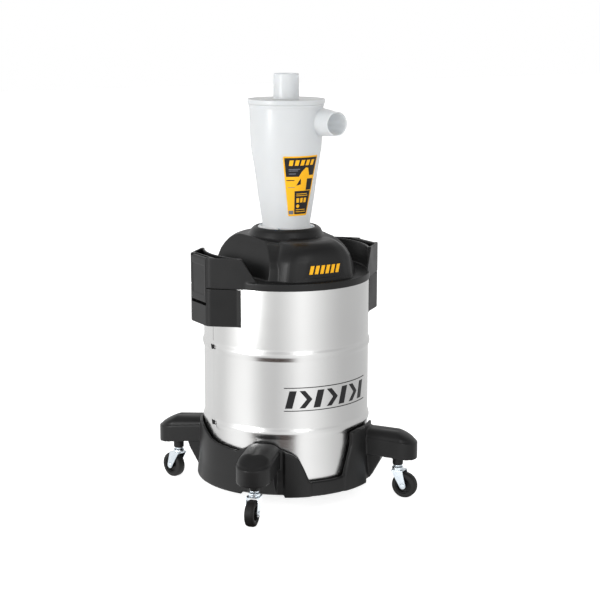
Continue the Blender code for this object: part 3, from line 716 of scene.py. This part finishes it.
DOME_SIDE = (
    (0.0760, 0.5600), (0.0815, 0.5425), (0.0920, 0.5310), (0.0975, 0.5220), (0.1030, 0.5100),
    (0.1075, 0.4950), (0.1130, 0.4668),
)
DOME_SIDE_SLANT = 0.11
BONNET_PLAN = ((0.072, -0.070), (0.092, -0.108), (0.076, -0.139), (0.040, -0.153))
BONNET_FRONT_Y = -0.156
BONNET_LEVELS = (
    (0.4640, 0.0, 0.0), (0.5060, 0.0020, 0.0068), (0.5200, 0.0060, 0.0147), (0.5300, 0.0125, 0.0225),
    (0.5375, 0.0235, 0.0300), (0.5400, 0.0360, 0.0360),
)
UPPER_END = (0.1215, 0.1147)
UPPER_TOP_END = (0.1517, 0.0856)
POCKET_WALL_R = 0.1712
LOWER_END = (0.1550, 0.0745)
FOOT = ((0.1515, 0.0815), (0.1400, 0.0755))
BADGE_HALF, BADGE_LOW_Z, BADGE_HIGH_Z = 0.0355, 0.4820, 0.4985
BADGE_CURVE_R = 0.27
BADGE_FIELD = (0.4735, 0.5100)
BADGE_DEPTH = 0.0026
BADGE_LEAN = 0.032


def dome_outer():
    return [
        (0, COLLAR_TOP_Z), (0.0620, COLLAR_TOP_Z), (0.0665, 0.5565), (0.0712, 0.5525), (0.0745, 0.5475),
        (0.0760, 0.5420), (0.0960, DOME_TOP_Z), (0.1070, 0.5385), (0.1180, 0.5310), (0.1270, 0.5215),
        (0.1350, 0.5100), (0.1410, 0.4950), (0.1440, 0.4800), (0.1455, FLANGE_TOP_Z),
        (FLANGE_R, FLANGE_TOP_Z), (FLANGE_R, FLANGE_LOW_Z), (0, FLANGE_LOW_Z),
    ]


def sloped_to_front(mesh):
    """Lowers the dome's top towards its front, outside the collar."""
    for vert in mesh.vertices:
        x, y, z = vert.co
        if hypot(x, y) > 0.0740 and z > FLANGE_TOP_Z:
            vert.co.z = z - 0.085 * max(0.0, -y) * (z - FLANGE_TOP_Z) / (DOME_TOP_Z - FLANGE_TOP_Z)
    return mesh


def dome_inside():
    return [
        (0, 0.5360), (0.0960, 0.5360), (0.1140, 0.5275), (0.1240, 0.5180), (0.1320, 0.5060),
        (0.1370, 0.4930), (0.1400, UNDERSIDE_Z), (LIP_R, UNDERSIDE_Z), (LIP_R, 0.44), (0, 0.44),
    ]


def collar_hollow():
    return [
        (0, 0.57), (COLLAR_BORE_R, 0.57), (COLLAR_BORE_R, SEAT_Z), (SEAT_HOLE_R, SEAT_Z),
        (SEAT_HOLE_R, 0.52), (0, 0.52),
    ]


def flat_sides(inwards, low):
    line = [(x - inwards, z) for x, z in DOME_SIDE[:-1]] + [(DOME_SIDE[-1][0] - inwards, low)]
    line = eased(line, 0.006, 3, False)
    outline = [(0.19, low), (0.19, line[0][1]), *line]
    rings = []
    for y in (-0.13, 0.13):
        rings.append([(x if x > 0.18 else x + y * DOME_SIDE_SLANT, y, z) for x, z in outline])
    cut = loft(rings)
    return [("DIFFERENCE", cut), ("DIFFERENCE", moved(cut, Matrix.Diagonal((-1, 1, 1, 1))))]


def bonnet(wall):
    half = list(BONNET_PLAN) + [(0.012, BONNET_FRONT_Y)]
    corners = eased(half + [(-x, y) for x, y in half[::-1]], 0.014, 4, False)
    levels = eased(BONNET_LEVELS, 0.006, 3, False)
    rings = []
    for z, front, side in levels:
        narrow = 1 - (side + wall) / 0.09
        rings.append([(x * narrow, min(y + front + wall, -0.07), z - wall) for x, y in corners])
    if wall:
        rings[0] = [(x, y, UNDERSIDE_Z - 0.006) for x, y, _ in rings[0]]
    return loft(rings)


def bonnet_front(x):
    """How far forward the bonnet's gently curved front stands at this x."""
    return BONNET_FRONT_Y + x * x / (2 * BADGE_CURVE_R)


def badge_recess():
    """The shallow field round the badge, cut into the bonnet's gently curved front."""
    rings = []
    for k in range(13):
        x = -0.046 + 0.096 * k / 12
        back = bonnet_front(x) + BADGE_DEPTH
        low, high = BADGE_FIELD
        rings.append([(x, back, low), (x, -0.18, low), (x, -0.18, high), (x, back + 0.0012, high)])
    return loft(rings)


def both_halves(corners):
    return corners + [(x, -y) for x, y in corners[::-1]]


def slanted_plan(end, tail):
    corners = both_halves([tail, end, (BLOCK_X, BLOCK_HALF)])
    return eased(corners, 0.008, 5, True, (0, 1, 4, 5))


def pocket_plan(end, outer_x, reach):
    direction = (Vector(end) - Vector((BLOCK_X, BLOCK_HALF))).normalized()
    inwards = Vector((-direction.y, direction.x))
    if inwards.y > 0:
        inwards = -inwards
    start = Vector((BLOCK_X, BLOCK_HALF)) + inwards * WALL
    corner = start + direction * ((outer_x - start.x) / direction.x)
    far = start + direction * ((reach - start.x) / direction.x)
    return both_halves([tuple(far), tuple(corner)])


def latch_recess(low, high):
    return box((RECESS_X, -RECESS_HALF, low), (BLOCK_X + 0.01, RECESS_HALF, high))


def upper_block():
    """An open-topped pocket with a recess for the latch, closed towards the dome by a curved wall."""
    low = slanted_plan(UPPER_END, (0.115, 0.083))
    high = slanted_plan(UPPER_TOP_END, (0.125, 0.062))
    rings = [[(x, y, z) for x, y in plan] for plan, z in ((low, FLANGE_LOW_Z + 0.0003), (high, BLOCK_TOP_Z))]
    inner_r = POCKET_WALL_R - WALL
    curved_wall = turned([(inner_r, 0.44), (POCKET_WALL_R, 0.44), (POCKET_WALL_R, 0.55), (inner_r, 0.55)])
    pocket = combined(
        prism(pocket_plan(UPPER_END, RECESS_X - WALL, 0.09), FLANGE_LOW_Z + 0.006, 0.54),
        ("DIFFERENCE", curved_wall),
    )
    return combined(loft(rings), ("DIFFERENCE", pocket), ("DIFFERENCE", latch_recess(0.43, 0.54)))


def lower_block():
    foot_out, foot_in = FOOT
    plan = [foot_in, *slanted_plan(LOWER_END, foot_out), (foot_in[0], -foot_in[1])]
    pocket = combined(
        prism(pocket_plan(LOWER_END, RECESS_X - WALL, 0.12), BRACKET_LOW_Z - 0.01, BLOCK_SEAM_Z - WALL),
        ("DIFFERENCE", rod(DRUM_R + 0.0033, (0, 0, 0.3), (0, 0, 0.5), 160)),
    )
    lip = box((RECESS_X - 0.001, -0.020, 0.4345), (LATCH_X - 0.0020, 0.020, 0.4380))
    return combined(
        prism(plan, BRACKET_LOW_Z, BLOCK_SEAM_Z),
        ("DIFFERENCE", pocket),
        ("DIFFERENCE", latch_recess(LATCH_LOW_Z - 0.006, 0.50)),
        ("UNION", lip),
        ("DIFFERENCE", rod(DRUM_R + 0.0003, (0, 0, 0.3), (0, 0, 0.5), 160)),
    )


def latch_shape():
    """A lever with a rounded knuckle, a hook behind and a shallow panel on its face."""
    plate = box((LATCH_X, -LATCH_HALF, LATCH_LOW_Z), (BLOCK_X, LATCH_HALF, PIVOT_Z))
    hook = box((LATCH_X - 0.0014, -0.018, 0.4290), (BLOCK_X - 0.001, 0.018, 0.4330))
    knuckle = rod(0.0055, (PIVOT_X, -LATCH_HALF, PIVOT_Z), (PIVOT_X, LATCH_HALF, PIVOT_Z), 40)
    panel_half = LATCH_HALF - 0.005
    panel = box((BLOCK_X - 0.0008, -panel_half, LATCH_LOW_Z + 0.014), (BLOCK_X + 0.01, panel_half, 0.496))
    return combined(plate, ("UNION", knuckle), ("UNION", hook), ("DIFFERENCE", panel))


def build_lid():
    block = upper_block()
    hollow = combined(sloped_to_front(turned(dome_inside(), 160)), *flat_sides(WALL, UNDERSIDE_Z + 0.0005))
    lid = combined(
        sloped_to_front(turned(dome_outer(), 160)),
        *flat_sides(0.0, DOME_SIDE[-1][1]),
        ("UNION", bonnet(0.0)),
        ("DIFFERENCE", badge_recess()),
        ("UNION", block),
        ("UNION", moved(block, about_z(180))),
        ("DIFFERENCE", hollow),
        ("DIFFERENCE", bonnet(0.0040)),
        ("DIFFERENCE", turned(collar_hollow(), 160)),
    )
    lid = moulded(lid, 0.0014, 5)
    place("lid_moulding", lid, BLACK, "lid", ["lid_shell"])
    bracket, latch = moulded(lower_block(), 0.0010, 4), moulded(latch_shape(), 0.0007, 3)
    for side, sign in SIDES:
        turn = about_z(0 if sign > 0 else 180)
        node = f"tank_bracket_{side}"
        place(f"bracket_{side}", moved(bracket, turn), BLACK, "tank", [node])
        place(f"clamp_{side}", moved(latch, turn), BLACK, f"latch_{side}", [f"latch_{side}"])
    seal = eased([(0.1655, 0.4600), (0.1698, 0.4600), (0.1698, 0.4573), (0.1655, 0.4573)], 0.0008, 3)
    place("drum_seal", turned(seal), RUBBER, "lid", ["lid_gasket"])


def badge_plate(outline, proud, thick=0.0008):
    """A thin plate on the bonnet's curved front, from an outline in (x, z)."""
    rings = []
    for depth in (-thick, 0.0):
        offset = BADGE_DEPTH - proud - depth
        rings.append([
            (x, bonnet_front(x) + BADGE_LEAN * (z - BADGE_FIELD[0]) + offset, z)
            for x, z in outline
        ])
    return loft(rings)


def build_badge():
    """A plain black plate with a row of raised yellow bars."""
    half, low, high = BADGE_HALF + 0.002, BADGE_LOW_Z - 0.002, BADGE_HIGH_Z + 0.002
    plate = eased(rectangle(-half, half, low, high), 0.002, 4)
    place("badge_plate", badge_plate(plate, 0.0006, 0.0012), PRINT_BLACK, "lid")
    count = 6
    pitch = 2 * BADGE_HALF / count
    for k in range(count):
        start = -BADGE_HALF + pitch * k
        bar = slanted_bar(start, BADGE_LOW_Z, BADGE_HIGH_Z, pitch * 0.62, 0.26)
        place(f"badge_bar_{k + 1}", badge_plate(bar, 0.0011), YELLOW, "lid")


# --- cyclone ------------------------------------------------------------------------------------------


def build_cyclone():
    outer = [
        (0, CYCLONE_TOP_Z), (0.0768, CYCLONE_TOP_Z), (0.0768, 0.8025), *CONE,
        (0.0490, CYCLONE_FLANGE_TOP_Z), (0.0585, CYCLONE_FLANGE_TOP_Z), (0.0585, CYCLONE_LOW_Z),
        (0, CYCLONE_LOW_Z),
    ]
    inner = [(0, 0.83), (CONE[0][0] - CYCLONE_WALL, 0.83)]
    inner += [(r - CYCLONE_WALL, z) for r, z in CONE]
    inner += [(CONE[-1][0] - CYCLONE_WALL, 0.53), (0, 0.53)]
    bore_end = (INLET_X, INLET_END_Y - 0.006, INLET_Z)
    ends = (0, 1, 2, len(outer) - 4, len(outer) - 3, len(outer) - 2, len(outer) - 1)
    body = combined(
        turned(eased(outer, 0.004, 4, True, ends)),
        ("UNION", inlet_tube()),
        ("DIFFERENCE", turned(eased(inner, 0.004, 4, True, (0, 1, len(inner) - 2, len(inner) - 1)))),
        ("DIFFERENCE", rod(INLET_BORE_R, (INLET_X, -0.13, INLET_Z), bore_end, 96)),
    )
    body = moulded(body, 0.0010, 3)
    place("cyclone_cone", body, MILKY, "lid", ["cyclone_body"])
    low = CYCLONE_TOP_Z + 0.0003
    cover = eased([
        (0.0225, OUTLET_TOP_Z), (0.0255, OUTLET_TOP_Z), (0.0256, 0.8600), (0.0265, COVER_TOP_Z + 0.002),
        (0.0285, COVER_TOP_Z), (COVER_R, COVER_TOP_Z), (COVER_R, low), (0.0225, low),
    ], 0.0011, 3)
    place("cyclone_lid", turned(cover), MILKY_SHADED_TOP, "lid", ["cyclone_cover"])
    finder = eased([
        (0.0240, CYCLONE_TOP_Z), (0.0340, CYCLONE_TOP_Z), (0.0340, CYCLONE_TOP_Z - 0.0025),
        (0.0265, CYCLONE_TOP_Z - 0.0025), (0.0265, FINDER_LOW_Z + 0.010), (0.0395, FINDER_LOW_Z + 0.002),
        (0.0395, FINDER_LOW_Z), (0.0240, FINDER_LOW_Z),
    ], 0.0012, 3)
    place("outlet_finder", turned(finder), MILKY, "lid", ["vortex_finder"])
    washer = eased([(0.0470, 0.5477), (0.0580, 0.5477), (0.0580, 0.5448), (0.0470, 0.5448)], 0.0006, 3)
    place("flange_seal", turned(washer), RUBBER, "lid", ["cyclone_gasket"])


def inlet_tube():
    """The side port along Y: nearly straight at its mouth, wider at its root."""
    length = INLET_END_Y - INLET_MOUTH_Y
    profile = eased([
        (0, 0), (INLET_R, 0), (INLET_R + 0.0003, 0.012), (INLET_ROOT_R, 0.060),
        (INLET_ROOT_R, length), (0, length),
    ], 0.0012, 3, True, (0, 4, 5))
    mesh = turned(profile, 96)
    mesh.transform(Matrix.Translation((INLET_X, INLET_MOUTH_Y, INLET_Z)) @ Matrix.Rotation(-pi / 2, 4, "X"))
    return mesh


# --- dolly ----------------------------------------------------------------------------------------------

# Angle from the front, the wall's top there, and how far the wall stands proud, up to a front arm
WALL_FRONT_RIGHT = (
    (0, 0.0660, 0.0), (5, 0.0665, 0.0), (9, 0.0675, 0.0), (10, 0.0700, 0.004), (13.8, 0.1030, 0.004),
    (16.4, 0.1265, 0.004), (16.9, 0.1545, 0.004), (24, 0.1570, 0.004), (31, 0.1565, 0.004),
    (31.5, 0.1565, 0.0), (38, 0.1560, 0.0),
)
WALL_FRONT_LEFT = (
    (7, 0.0660, 0.0), (14, 0.0655, 0.0), (15, 0.0675, 0.004), (18.5, 0.0940, 0.004), (21.6, 0.1140, 0.004),
    (25.5, 0.1235, 0.004), (31, 0.1305, 0.004), (31.5, 0.1320, 0.0), (34, 0.1345, 0.0), (38, 0.1375, 0.0),
    (45, 0.1410, 0.0),
)
WALL_SIDE = (
    (45, 0.1560), (48.8, 0.1555), (49.3, 0.1455), (52, 0.1440), (58.5, 0.1310), (59, 0.1295), (63, 0.1245),
    (71, 0.1262), (81, 0.1286), (88, 0.1320), (95.5, 0.1410), (104, 0.1500), (112, 0.1530), (121, 0.1530),
    (121.5, 0.1530), (135, 0.1510), (148.5, 0.1480), (149, 0.1475), (158, 0.1390), (168, 0.1310),
    (180, 0.1286),
)


def wall_stations():
    """(angle from the front, top, proud) right round the dolly, with steps of at most 2 degrees."""
    side = [(angle, top, 0.0) for angle, top in WALL_SIDE]
    left = list(WALL_FRONT_LEFT) + side[3:-1]
    known = list(WALL_FRONT_RIGHT) + side + [(360 - angle, top, proud) for angle, top, proud in left[::-1]]
    known.append((360, known[0][1], known[0][2]))
    made = []
    for (a, top_a, proud_a), (b, top_b, proud_b) in zip(known, known[1:]):
        steps = max(1, int((b - a) / 2 + 0.99))
        for k in range(steps):
            share = k / steps
            top = top_a + (top_b - top_a) * share
            made.append((a + (b - a) * share, top, proud_a + (proud_b - proud_a) * share))
    return made


def pan_section(angle, top, proud):
    turn = radians(angle)
    at_arm = abs(angle % 90 - 45) < 13.7
    low = NOTCH_Z if at_arm else SKIRT_LOW_Z
    levels = [
        (0.1830, PAN_Z), (0.1830, low), (SKIRT_R + proud * 0.5, low),
        (RING_R + 0.0035 + proud, min(0.070, top - 0.001)), (RING_R + proud, top),
        (RING_INNER_R, top), (RING_INNER_R, PAN_TOP_Z),
    ]
    return [(r * sin(turn), -r * cos(turn), z) for r, z in levels]


def pan():
    form = bmesh.new()
    rings = [[form.verts.new(p) for p in pan_section(*station)] for station in wall_stations()]
    for here, there in zip(rings, rings[1:] + rings[:1]):
        for i in range(len(here) - 1):
            form.faces.new((here[i], here[i + 1], there[i + 1], there[i]))
    form.faces.new([ring[0] for ring in rings])
    form.faces.new([ring[-1] for ring in rings])
    return finished(form)


def arm_outline(half, tip, root):
    """An arm's plan along +X: straight sides and a rounded end."""
    centre = tip - half
    arc = [(centre + half * cos(radians(a)), half * sin(radians(a))) for a in range(90, -91, -10)]
    return [(root, half), *arc, (root, -half)]


def arm_level(x, heights):
    along = min(max((x - 0.190) / (ARM_TIP_R - 0.190), 0), 1)
    return heights[0] + (heights[1] - heights[0]) * along


def crown_level(x):
    """The hood's ridge: nearly level at first, then falling to the tip."""
    along = min(max((x - 0.190) / (ARM_TIP_R - 0.190), 0), 1)
    return arm_level(x, ARM_CROWN) + 0.0065 * sin(pi * along ** 0.85) + 0.001


def arm_shape():
    """One arm along +X with a barrel-shaped hood, hollow below, with its caster boss and web."""
    outer = arm_outline(ARM_HALF, ARM_TIP_R, 0.165)
    rings = [[(x, y, arm_level(x, heights)) for x, y in outer] for heights in (ARM_BOTTOM, ARM_CREASE)]
    hood_half, hood_tip = ARM_HALF - 0.0022, ARM_TIP_R - 0.0040
    for k in range(0, 9):
        rise = radians(90 * k / 8.6)
        half = hood_half * cos(rise) ** 0.72
        tip = hood_tip - (1 - cos(rise)) * 0.034
        ring = []
        for x, y in arm_outline(half, tip, 0.1660 + 0.0005 * k):
            low, high = arm_level(x, ARM_CREASE), crown_level(x)
            ring.append((x, y, low + (high - low) * sin(rise) ** 0.85))
        rings.append(ring)
    inner = arm_outline(ARM_HALF - WALL, ARM_TIP_R - WALL, 0.196)
    ceiling = [(0.196 + (x - 0.196) * 0.90, y * 0.55) for x, y in inner]
    hollow = [
        [(x, y, 0.070) for x, y in inner],
        [(x, y, arm_level(x, ARM_CREASE) - 0.003) for x, y in inner],
        [(x, y, arm_level(x, ARM_CROWN) - 0.0060) for x, y in ceiling],
    ]
    side = [
        (0.170, NOTCH_Z + 0.001), (0.186, NOTCH_Z + 0.001), (0.2055, 0.080), (0.2095, 0.0945),
        (0.2095, 0.110), (0.170, 0.110),
    ]
    web = loft([[(x, y, z) for x, z in side] for y in (-0.029, 0.029)])
    boss = turned([
        (0, 0.096), (STEM_HOLE_R, 0.096), (STEM_HOLE_R, 0.0686), (BOSS_R, 0.0686), (BOSS_R, 0.1285),
        (0, 0.1285),
    ], 40)
    boss.transform(Matrix.Translation((CASTER_XY * sqrt(2), 0, 0)))
    room = rod(RING_INNER_R + 0.0010, (0, 0, PAN_TOP_Z - 0.01), (0, 0, 0.3), 160)
    hood = combined(loft(rings), ("DIFFERENCE", loft(hollow)), ("DIFFERENCE", room))
    return joined(hood, combined(web, ("DIFFERENCE", room))), boss


def build_dolly():
    arm, boss = arm_shape()
    turns = [about_z(45 + 90 * k) for k in range(4)]
    base = joined(pan(), *[moved(piece, turn) for turn in turns for piece in (arm, boss)])
    base = moulded(base, 0.0016, 5)
    place("dolly_moulding", base, BLACK, "tank", ["dolly_base"])


# --- casters ----------------------------------------------------------------------------------------------


def stem_shape():
    return turned(eased([
        (0, 0.0950), (0.0040, 0.0950), (0.0040, 0.0683), (0.0090, 0.0683), (0.0090, 0.0653),
        (0.0040, 0.0653), (0.0040, 0.0590), (0, 0.0590),
    ], 0.0006, 3, True, (0, 7)), 48)


def fork_leg(side):
    """A tapered leg with a round end at the axle; the trail is along -Y."""
    turns = [radians(angle) for angle in range(-20, 161, 12)]
    end = [(-TRAIL - LEG_END_R * cos(turn), WHEEL_R - LEG_END_R * sin(turn)) for turn in turns]
    plan = [(-0.0150, 0.0580), *end, (0.0110, 0.0580)]
    inner, outer = sorted((side * 0.0115, side * 0.0131))
    return loft([[(x, y, z) for y, z in plan] for x in (inner, outer)])


def fork_shape():
    head = eased([
        (0, 0.0650), (0.0100, 0.0650), (0.0118, 0.0632), (0.0118, 0.0575), (0, 0.0575),
    ], 0.001, 3, True, (0, 4))
    saddle = box((-0.0129, -0.0145, 0.0560), (0.0129, 0.0108, 0.0578))
    fork = combined(
        fork_leg(1),
        ("UNION", saddle),
        ("UNION", fork_leg(-1)),
        ("UNION", turned(head, 40)),
        ("DIFFERENCE", rod(STEM_HOLE_R, (0, 0, 0.0580), (0, 0, 0.08), 24)),
    )
    return moulded(fork, 0.0005, 3)


def about_axle(mesh):
    return moved(mesh, Matrix.Translation((0, -TRAIL, WHEEL_R)) @ Matrix.Rotation(pi / 2, 4, "Y"))


def mirrored(half):
    return half + [(r, -z) for r, z in half[::-1]]


def axle_shape():
    half = [(0, 0.0149), (0.0036, 0.0149), (0.0050, 0.0141), (0.0050, 0.0134), (AXLE_R, 0.0134)]
    return about_axle(turned(eased(mirrored(half), 0.0004, 2, True, (0, 9)), 32))


def tyre_shape():
    half = [
        (TYRE_INNER_R, WHEEL_HALF - 0.0004), (TYRE_INNER_R + 0.0012, WHEEL_HALF),
        (WHEEL_R - 0.0045, WHEEL_HALF), (WHEEL_R - 0.0012, WHEEL_HALF - 0.0014),
        (WHEEL_R, WHEEL_HALF - 0.0048),
    ]
    return about_axle(turned(eased(mirrored(half), 0.0012, 3), 128))


def hub_shape():
    half = [
        (AXLE_R + 0.0004, WHEEL_HALF + 0.0010), (0.0062, WHEEL_HALF + 0.0010), (0.0066, 0.0030),
        (TYRE_INNER_R - 0.0032, 0.0030), (TYRE_INNER_R - 0.0025, WHEEL_HALF - 0.0015),
        (TYRE_INNER_R - 0.0003, WHEEL_HALF - 0.0015),
    ]
    return about_axle(turned(eased(mirrored(half), 0.0006, 2), 96))


def build_casters():
    stem, fork, axle, tyre, hub = stem_shape(), fork_shape(), axle_shape(), tyre_shape(), hub_shape()
    for name, x_side, y_side, trail_turn in CASTERS:
        turn = Matrix.Translation((CASTER_XY * x_side, CASTER_XY * y_side, 0)) @ about_z(trail_turn)
        node = f"caster_{name}"
        place(f"{node}_post", moved(stem, turn), ZINC, "tank", [f"{node}_stem"])
        place(f"{node}_yoke", moved(fork, turn), ZINC, f"fork_{name}", [f"{node}_fork"])
        place(f"{node}_pin", moved(axle, turn), ZINC, f"fork_{name}", [f"{node}_axle"])
        place(f"{node}_tread", moved(tyre, turn), TYRE, f"wheel_{name}", [f"{node}_tyre"])
        core = moved(hub, turn)
        place(f"{node}_core", core, GLOSS_BLACK, f"wheel_{name}", [f"{node}_hub"])


def finish_kept_nodes():
    """The small CAD nodes that stay: pins, rivets and screws, with softened edges."""
    for name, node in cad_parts.items():
        if node.hide_render:
            continue
        node.data.materials.clear()
        node.data.materials.append(ZINC)
        bevel = node.modifiers.new("bevel", "BEVEL")
        bevel.width = 0.00035
        bevel.segments = 2
        bevel.limit_method = "ANGLE"


# --- studio -------------------------------------------------------------------------------------------------


# Direction in degrees (0 at the back, 90 at the right, -90 at the left) and brightness there
WORLD_BANDS = (
    (-180, 1.45), (-169, 1.65), (-154, 1.20), (-137, 0.85), (-120, 0.95), (-100, 1.60),
    (-82, 1.50), (-58, 0.95), (-33, 1.10), (0, 1.00), (40, 0.92), (78, 0.82),
    (110, 0.76), (133, 0.76), (153, 0.95), (172, 1.30), (180, 1.45),
)
FLOOR_STRENGTH = 0.95
WORLD_STRENGTH = 1.0


def flat_finish(name, colour, rough=0.9):
    made = Nodes(name)
    cloud = made.noise(0.8, 2.0)
    made.set(color=made.mix(cloud, tuple(c * 0.995 for c in colour), colour), rough=rough)
    return made.material


def area_light(name, place_at, look_at, width, height, power, colour=(1, 1, 1)):
    lamp = bpy.data.lights.new(name, "AREA")
    lamp.shape = "RECTANGLE"
    lamp.size, lamp.size_y = width, height
    lamp.energy = power
    lamp.color = colour
    obj = bpy.data.objects.new(name, lamp)
    bpy.context.scene.collection.objects.link(obj)
    obj.location = place_at
    obj.rotation_euler = (Vector(look_at) - Vector(place_at)).to_track_quat("-Z", "Y").to_euler()
    return obj


def bands(tree, coords):
    """Brightness by direction round the object, from a vector whose X and Y point that way."""
    split = tree.nodes.new("ShaderNodeSeparateXYZ")
    turn = tree.nodes.new("ShaderNodeMath")
    turn.operation = "ARCTAN2"
    tree.links.new(coords, split.inputs[0])
    tree.links.new(split.outputs["X"], turn.inputs[0])
    tree.links.new(split.outputs["Y"], turn.inputs[1])
    share = tree.nodes.new("ShaderNodeMapRange")
    share.inputs["From Min"].default_value, share.inputs["From Max"].default_value = -pi, pi
    tree.links.new(turn.outputs[0], share.inputs["Value"])
    band = tree.nodes.new("ShaderNodeValToRGB")
    while len(band.color_ramp.elements) < len(WORLD_BANDS):
        band.color_ramp.elements.new(0.5)
    for element, (degrees, value) in zip(band.color_ramp.elements, WORLD_BANDS):
        element.position = (degrees + 180) / 360
        element.color = (value * 0.5, value * 0.5, value * 0.5, 1)
    tree.links.new(share.outputs[0], band.inputs[0])
    above = tree.nodes.new("ShaderNodeMapRange")
    above.inputs["From Min"].default_value, above.inputs["From Max"].default_value = 0.20, 0.85
    above.inputs["To Min"].default_value, above.inputs["To Max"].default_value = 1.0, 0.30
    tree.links.new(split.outputs["Z"], above.inputs["Value"])
    dimmed = tree.nodes.new("ShaderNodeVectorMath")
    dimmed.operation = "SCALE"
    tree.links.new(band.outputs[0], dimmed.inputs[0])
    tree.links.new(above.outputs[0], dimmed.inputs["Scale"])
    return dimmed.outputs[0]


def studio_world():
    """White to the camera; softly banded, by direction, to everything that it lights."""
    world = bpy.data.worlds.new("studio_world")
    world.use_nodes = True
    tree = world.node_tree
    tree.nodes.clear()
    coords = tree.nodes.new("ShaderNodeTexCoord")
    lit = tree.nodes.new("ShaderNodeBackground")
    lit.inputs["Strength"].default_value = 2 * WORLD_STRENGTH
    tree.links.new(bands(tree, coords.outputs["Generated"]), lit.inputs["Color"])
    white = tree.nodes.new("ShaderNodeBackground")
    white.inputs["Color"].default_value = (1, 1, 1, 1)
    path = tree.nodes.new("ShaderNodeLightPath")
    mix = tree.nodes.new("ShaderNodeMixShader")
    tree.links.new(path.outputs["Is Camera Ray"], mix.inputs[0])
    tree.links.new(lit.outputs[0], mix.inputs[1])
    tree.links.new(white.outputs[0], mix.inputs[2])
    out = tree.nodes.new("ShaderNodeOutputWorld")
    tree.links.new(mix.outputs[0], out.inputs["Surface"])
    bpy.context.scene.world = world


def within(tree, source, low, high):
    """1 where the value lies between the two limits, else 0."""
    answers = []
    for operation, limit in (("GREATER_THAN", low), ("LESS_THAN", high)):
        node = tree.nodes.new("ShaderNodeMath")
        node.operation = operation
        tree.links.new(source, node.inputs[0])
        node.inputs[1].default_value = limit
        answers.append(node.outputs[0])
    both = tree.nodes.new("ShaderNodeMath")
    both.operation = "MULTIPLY"
    tree.links.new(answers[0], both.inputs[0])
    tree.links.new(answers[1], both.inputs[1])
    return both.outputs[0]


def dark_patch(tree, coords):
    """The bands, with a brown field near the drum that its rolled beads mirror from below."""
    split = tree.nodes.new("ShaderNodeSeparateXYZ")
    tree.links.new(coords, split.inputs[0])
    turn = tree.nodes.new("ShaderNodeMath")
    turn.operation = "ARCTAN2"
    tree.links.new(split.outputs["X"], turn.inputs[0])
    tree.links.new(split.outputs["Y"], turn.inputs[1])
    reach = tree.nodes.new("ShaderNodeVectorMath")
    reach.operation = "LENGTH"
    tree.links.new(coords, reach.inputs[0])
    both = tree.nodes.new("ShaderNodeMath")
    both.operation = "MULTIPLY"
    tree.links.new(within(tree, turn.outputs[0], radians(-160), radians(-111)), both.inputs[0])
    tree.links.new(within(tree, reach.outputs["Value"], 0.24, 0.64), both.inputs[1])
    mix = tree.nodes.new("ShaderNodeMix")
    mix.data_type = "RGBA"
    tree.links.new(both.outputs[0], mix.inputs["Factor"])
    tree.links.new(bands(tree, coords), mix.inputs[6])
    mix.inputs[7].default_value = (0.045, 0.032, 0.028, 1)
    return mix.outputs[2]


def floor_finish():
    """A white floor with soft shadows to the camera, and the same soft bands to everything else."""
    finish = flat_finish("studio_floor", (0.90, 0.90, 0.90))
    tree = finish.node_tree
    seen = tree.nodes["Principled BSDF"]
    seen.inputs["Emission Color"].default_value = (1, 1, 1, 1)
    seen.inputs["Emission Strength"].default_value = 0.78
    glow = tree.nodes.new("ShaderNodeEmission")
    glow.inputs["Strength"].default_value = 2 * FLOOR_STRENGTH
    coords = tree.nodes.new("ShaderNodeTexCoord")
    tree.links.new(dark_patch(tree, coords.outputs["Object"]), glow.inputs["Color"])
    path = tree.nodes.new("ShaderNodeLightPath")
    mix = tree.nodes.new("ShaderNodeMixShader")
    tree.links.new(path.outputs["Is Camera Ray"], mix.inputs[0])
    tree.links.new(glow.outputs[0], mix.inputs[1])
    tree.links.new(seen.outputs[0], mix.inputs[2])
    tree.links.new(mix.outputs[0], tree.nodes["Material Output"].inputs["Surface"])
    return finish


def build_studio():
    floor = loft([[(x, y, z) for x, y in ((-14, -14), (14, -14), (14, 14), (-14, 14))] for z in (-0.02, 0.0)])
    floor.materials.append(floor_finish())
    floor_obj = bpy.data.objects.new("studio_floor", floor)
    bpy.context.scene.collection.objects.link(floor_obj)
    studio_world()
    area_light("key_left", (-2.9, -0.5, 0.9), (0, 0, 0.3), 0.9, 1.2, 34)
    area_light("fill_front", (-0.4, -3.0, 1.9), (0, 0, 0.4), 0.7, 1.6, 12)
    area_light("top_soft", (0.0, 0.4, 3.0), (0, 0, 0.4), 2.4, 2.4, 6)


def build_camera():
    camera = bpy.data.cameras.new("camera")
    camera.lens = 88.92
    camera.sensor_width = 36
    camera.shift_x = 0.023
    obj = bpy.data.objects.new("camera", camera)
    bpy.context.scene.collection.objects.link(obj)
    obj.location = (-1.5015, -2.6007, 1.0010)
    obj.rotation_euler = (radians(78.72), 0, radians(-30))
    bpy.context.scene.camera = obj
    bpy.context.scene.view_settings.view_transform = "Standard"


build_drum()
build_drum_mark()
build_lid()
build_badge()
build_cyclone()
build_label()
build_dolly()
build_casters()
finish_kept_nodes()
build_studio()
build_camera()

for spare in [mesh for mesh in bpy.data.meshes if mesh.users == 0]:
    bpy.data.meshes.remove(spare)
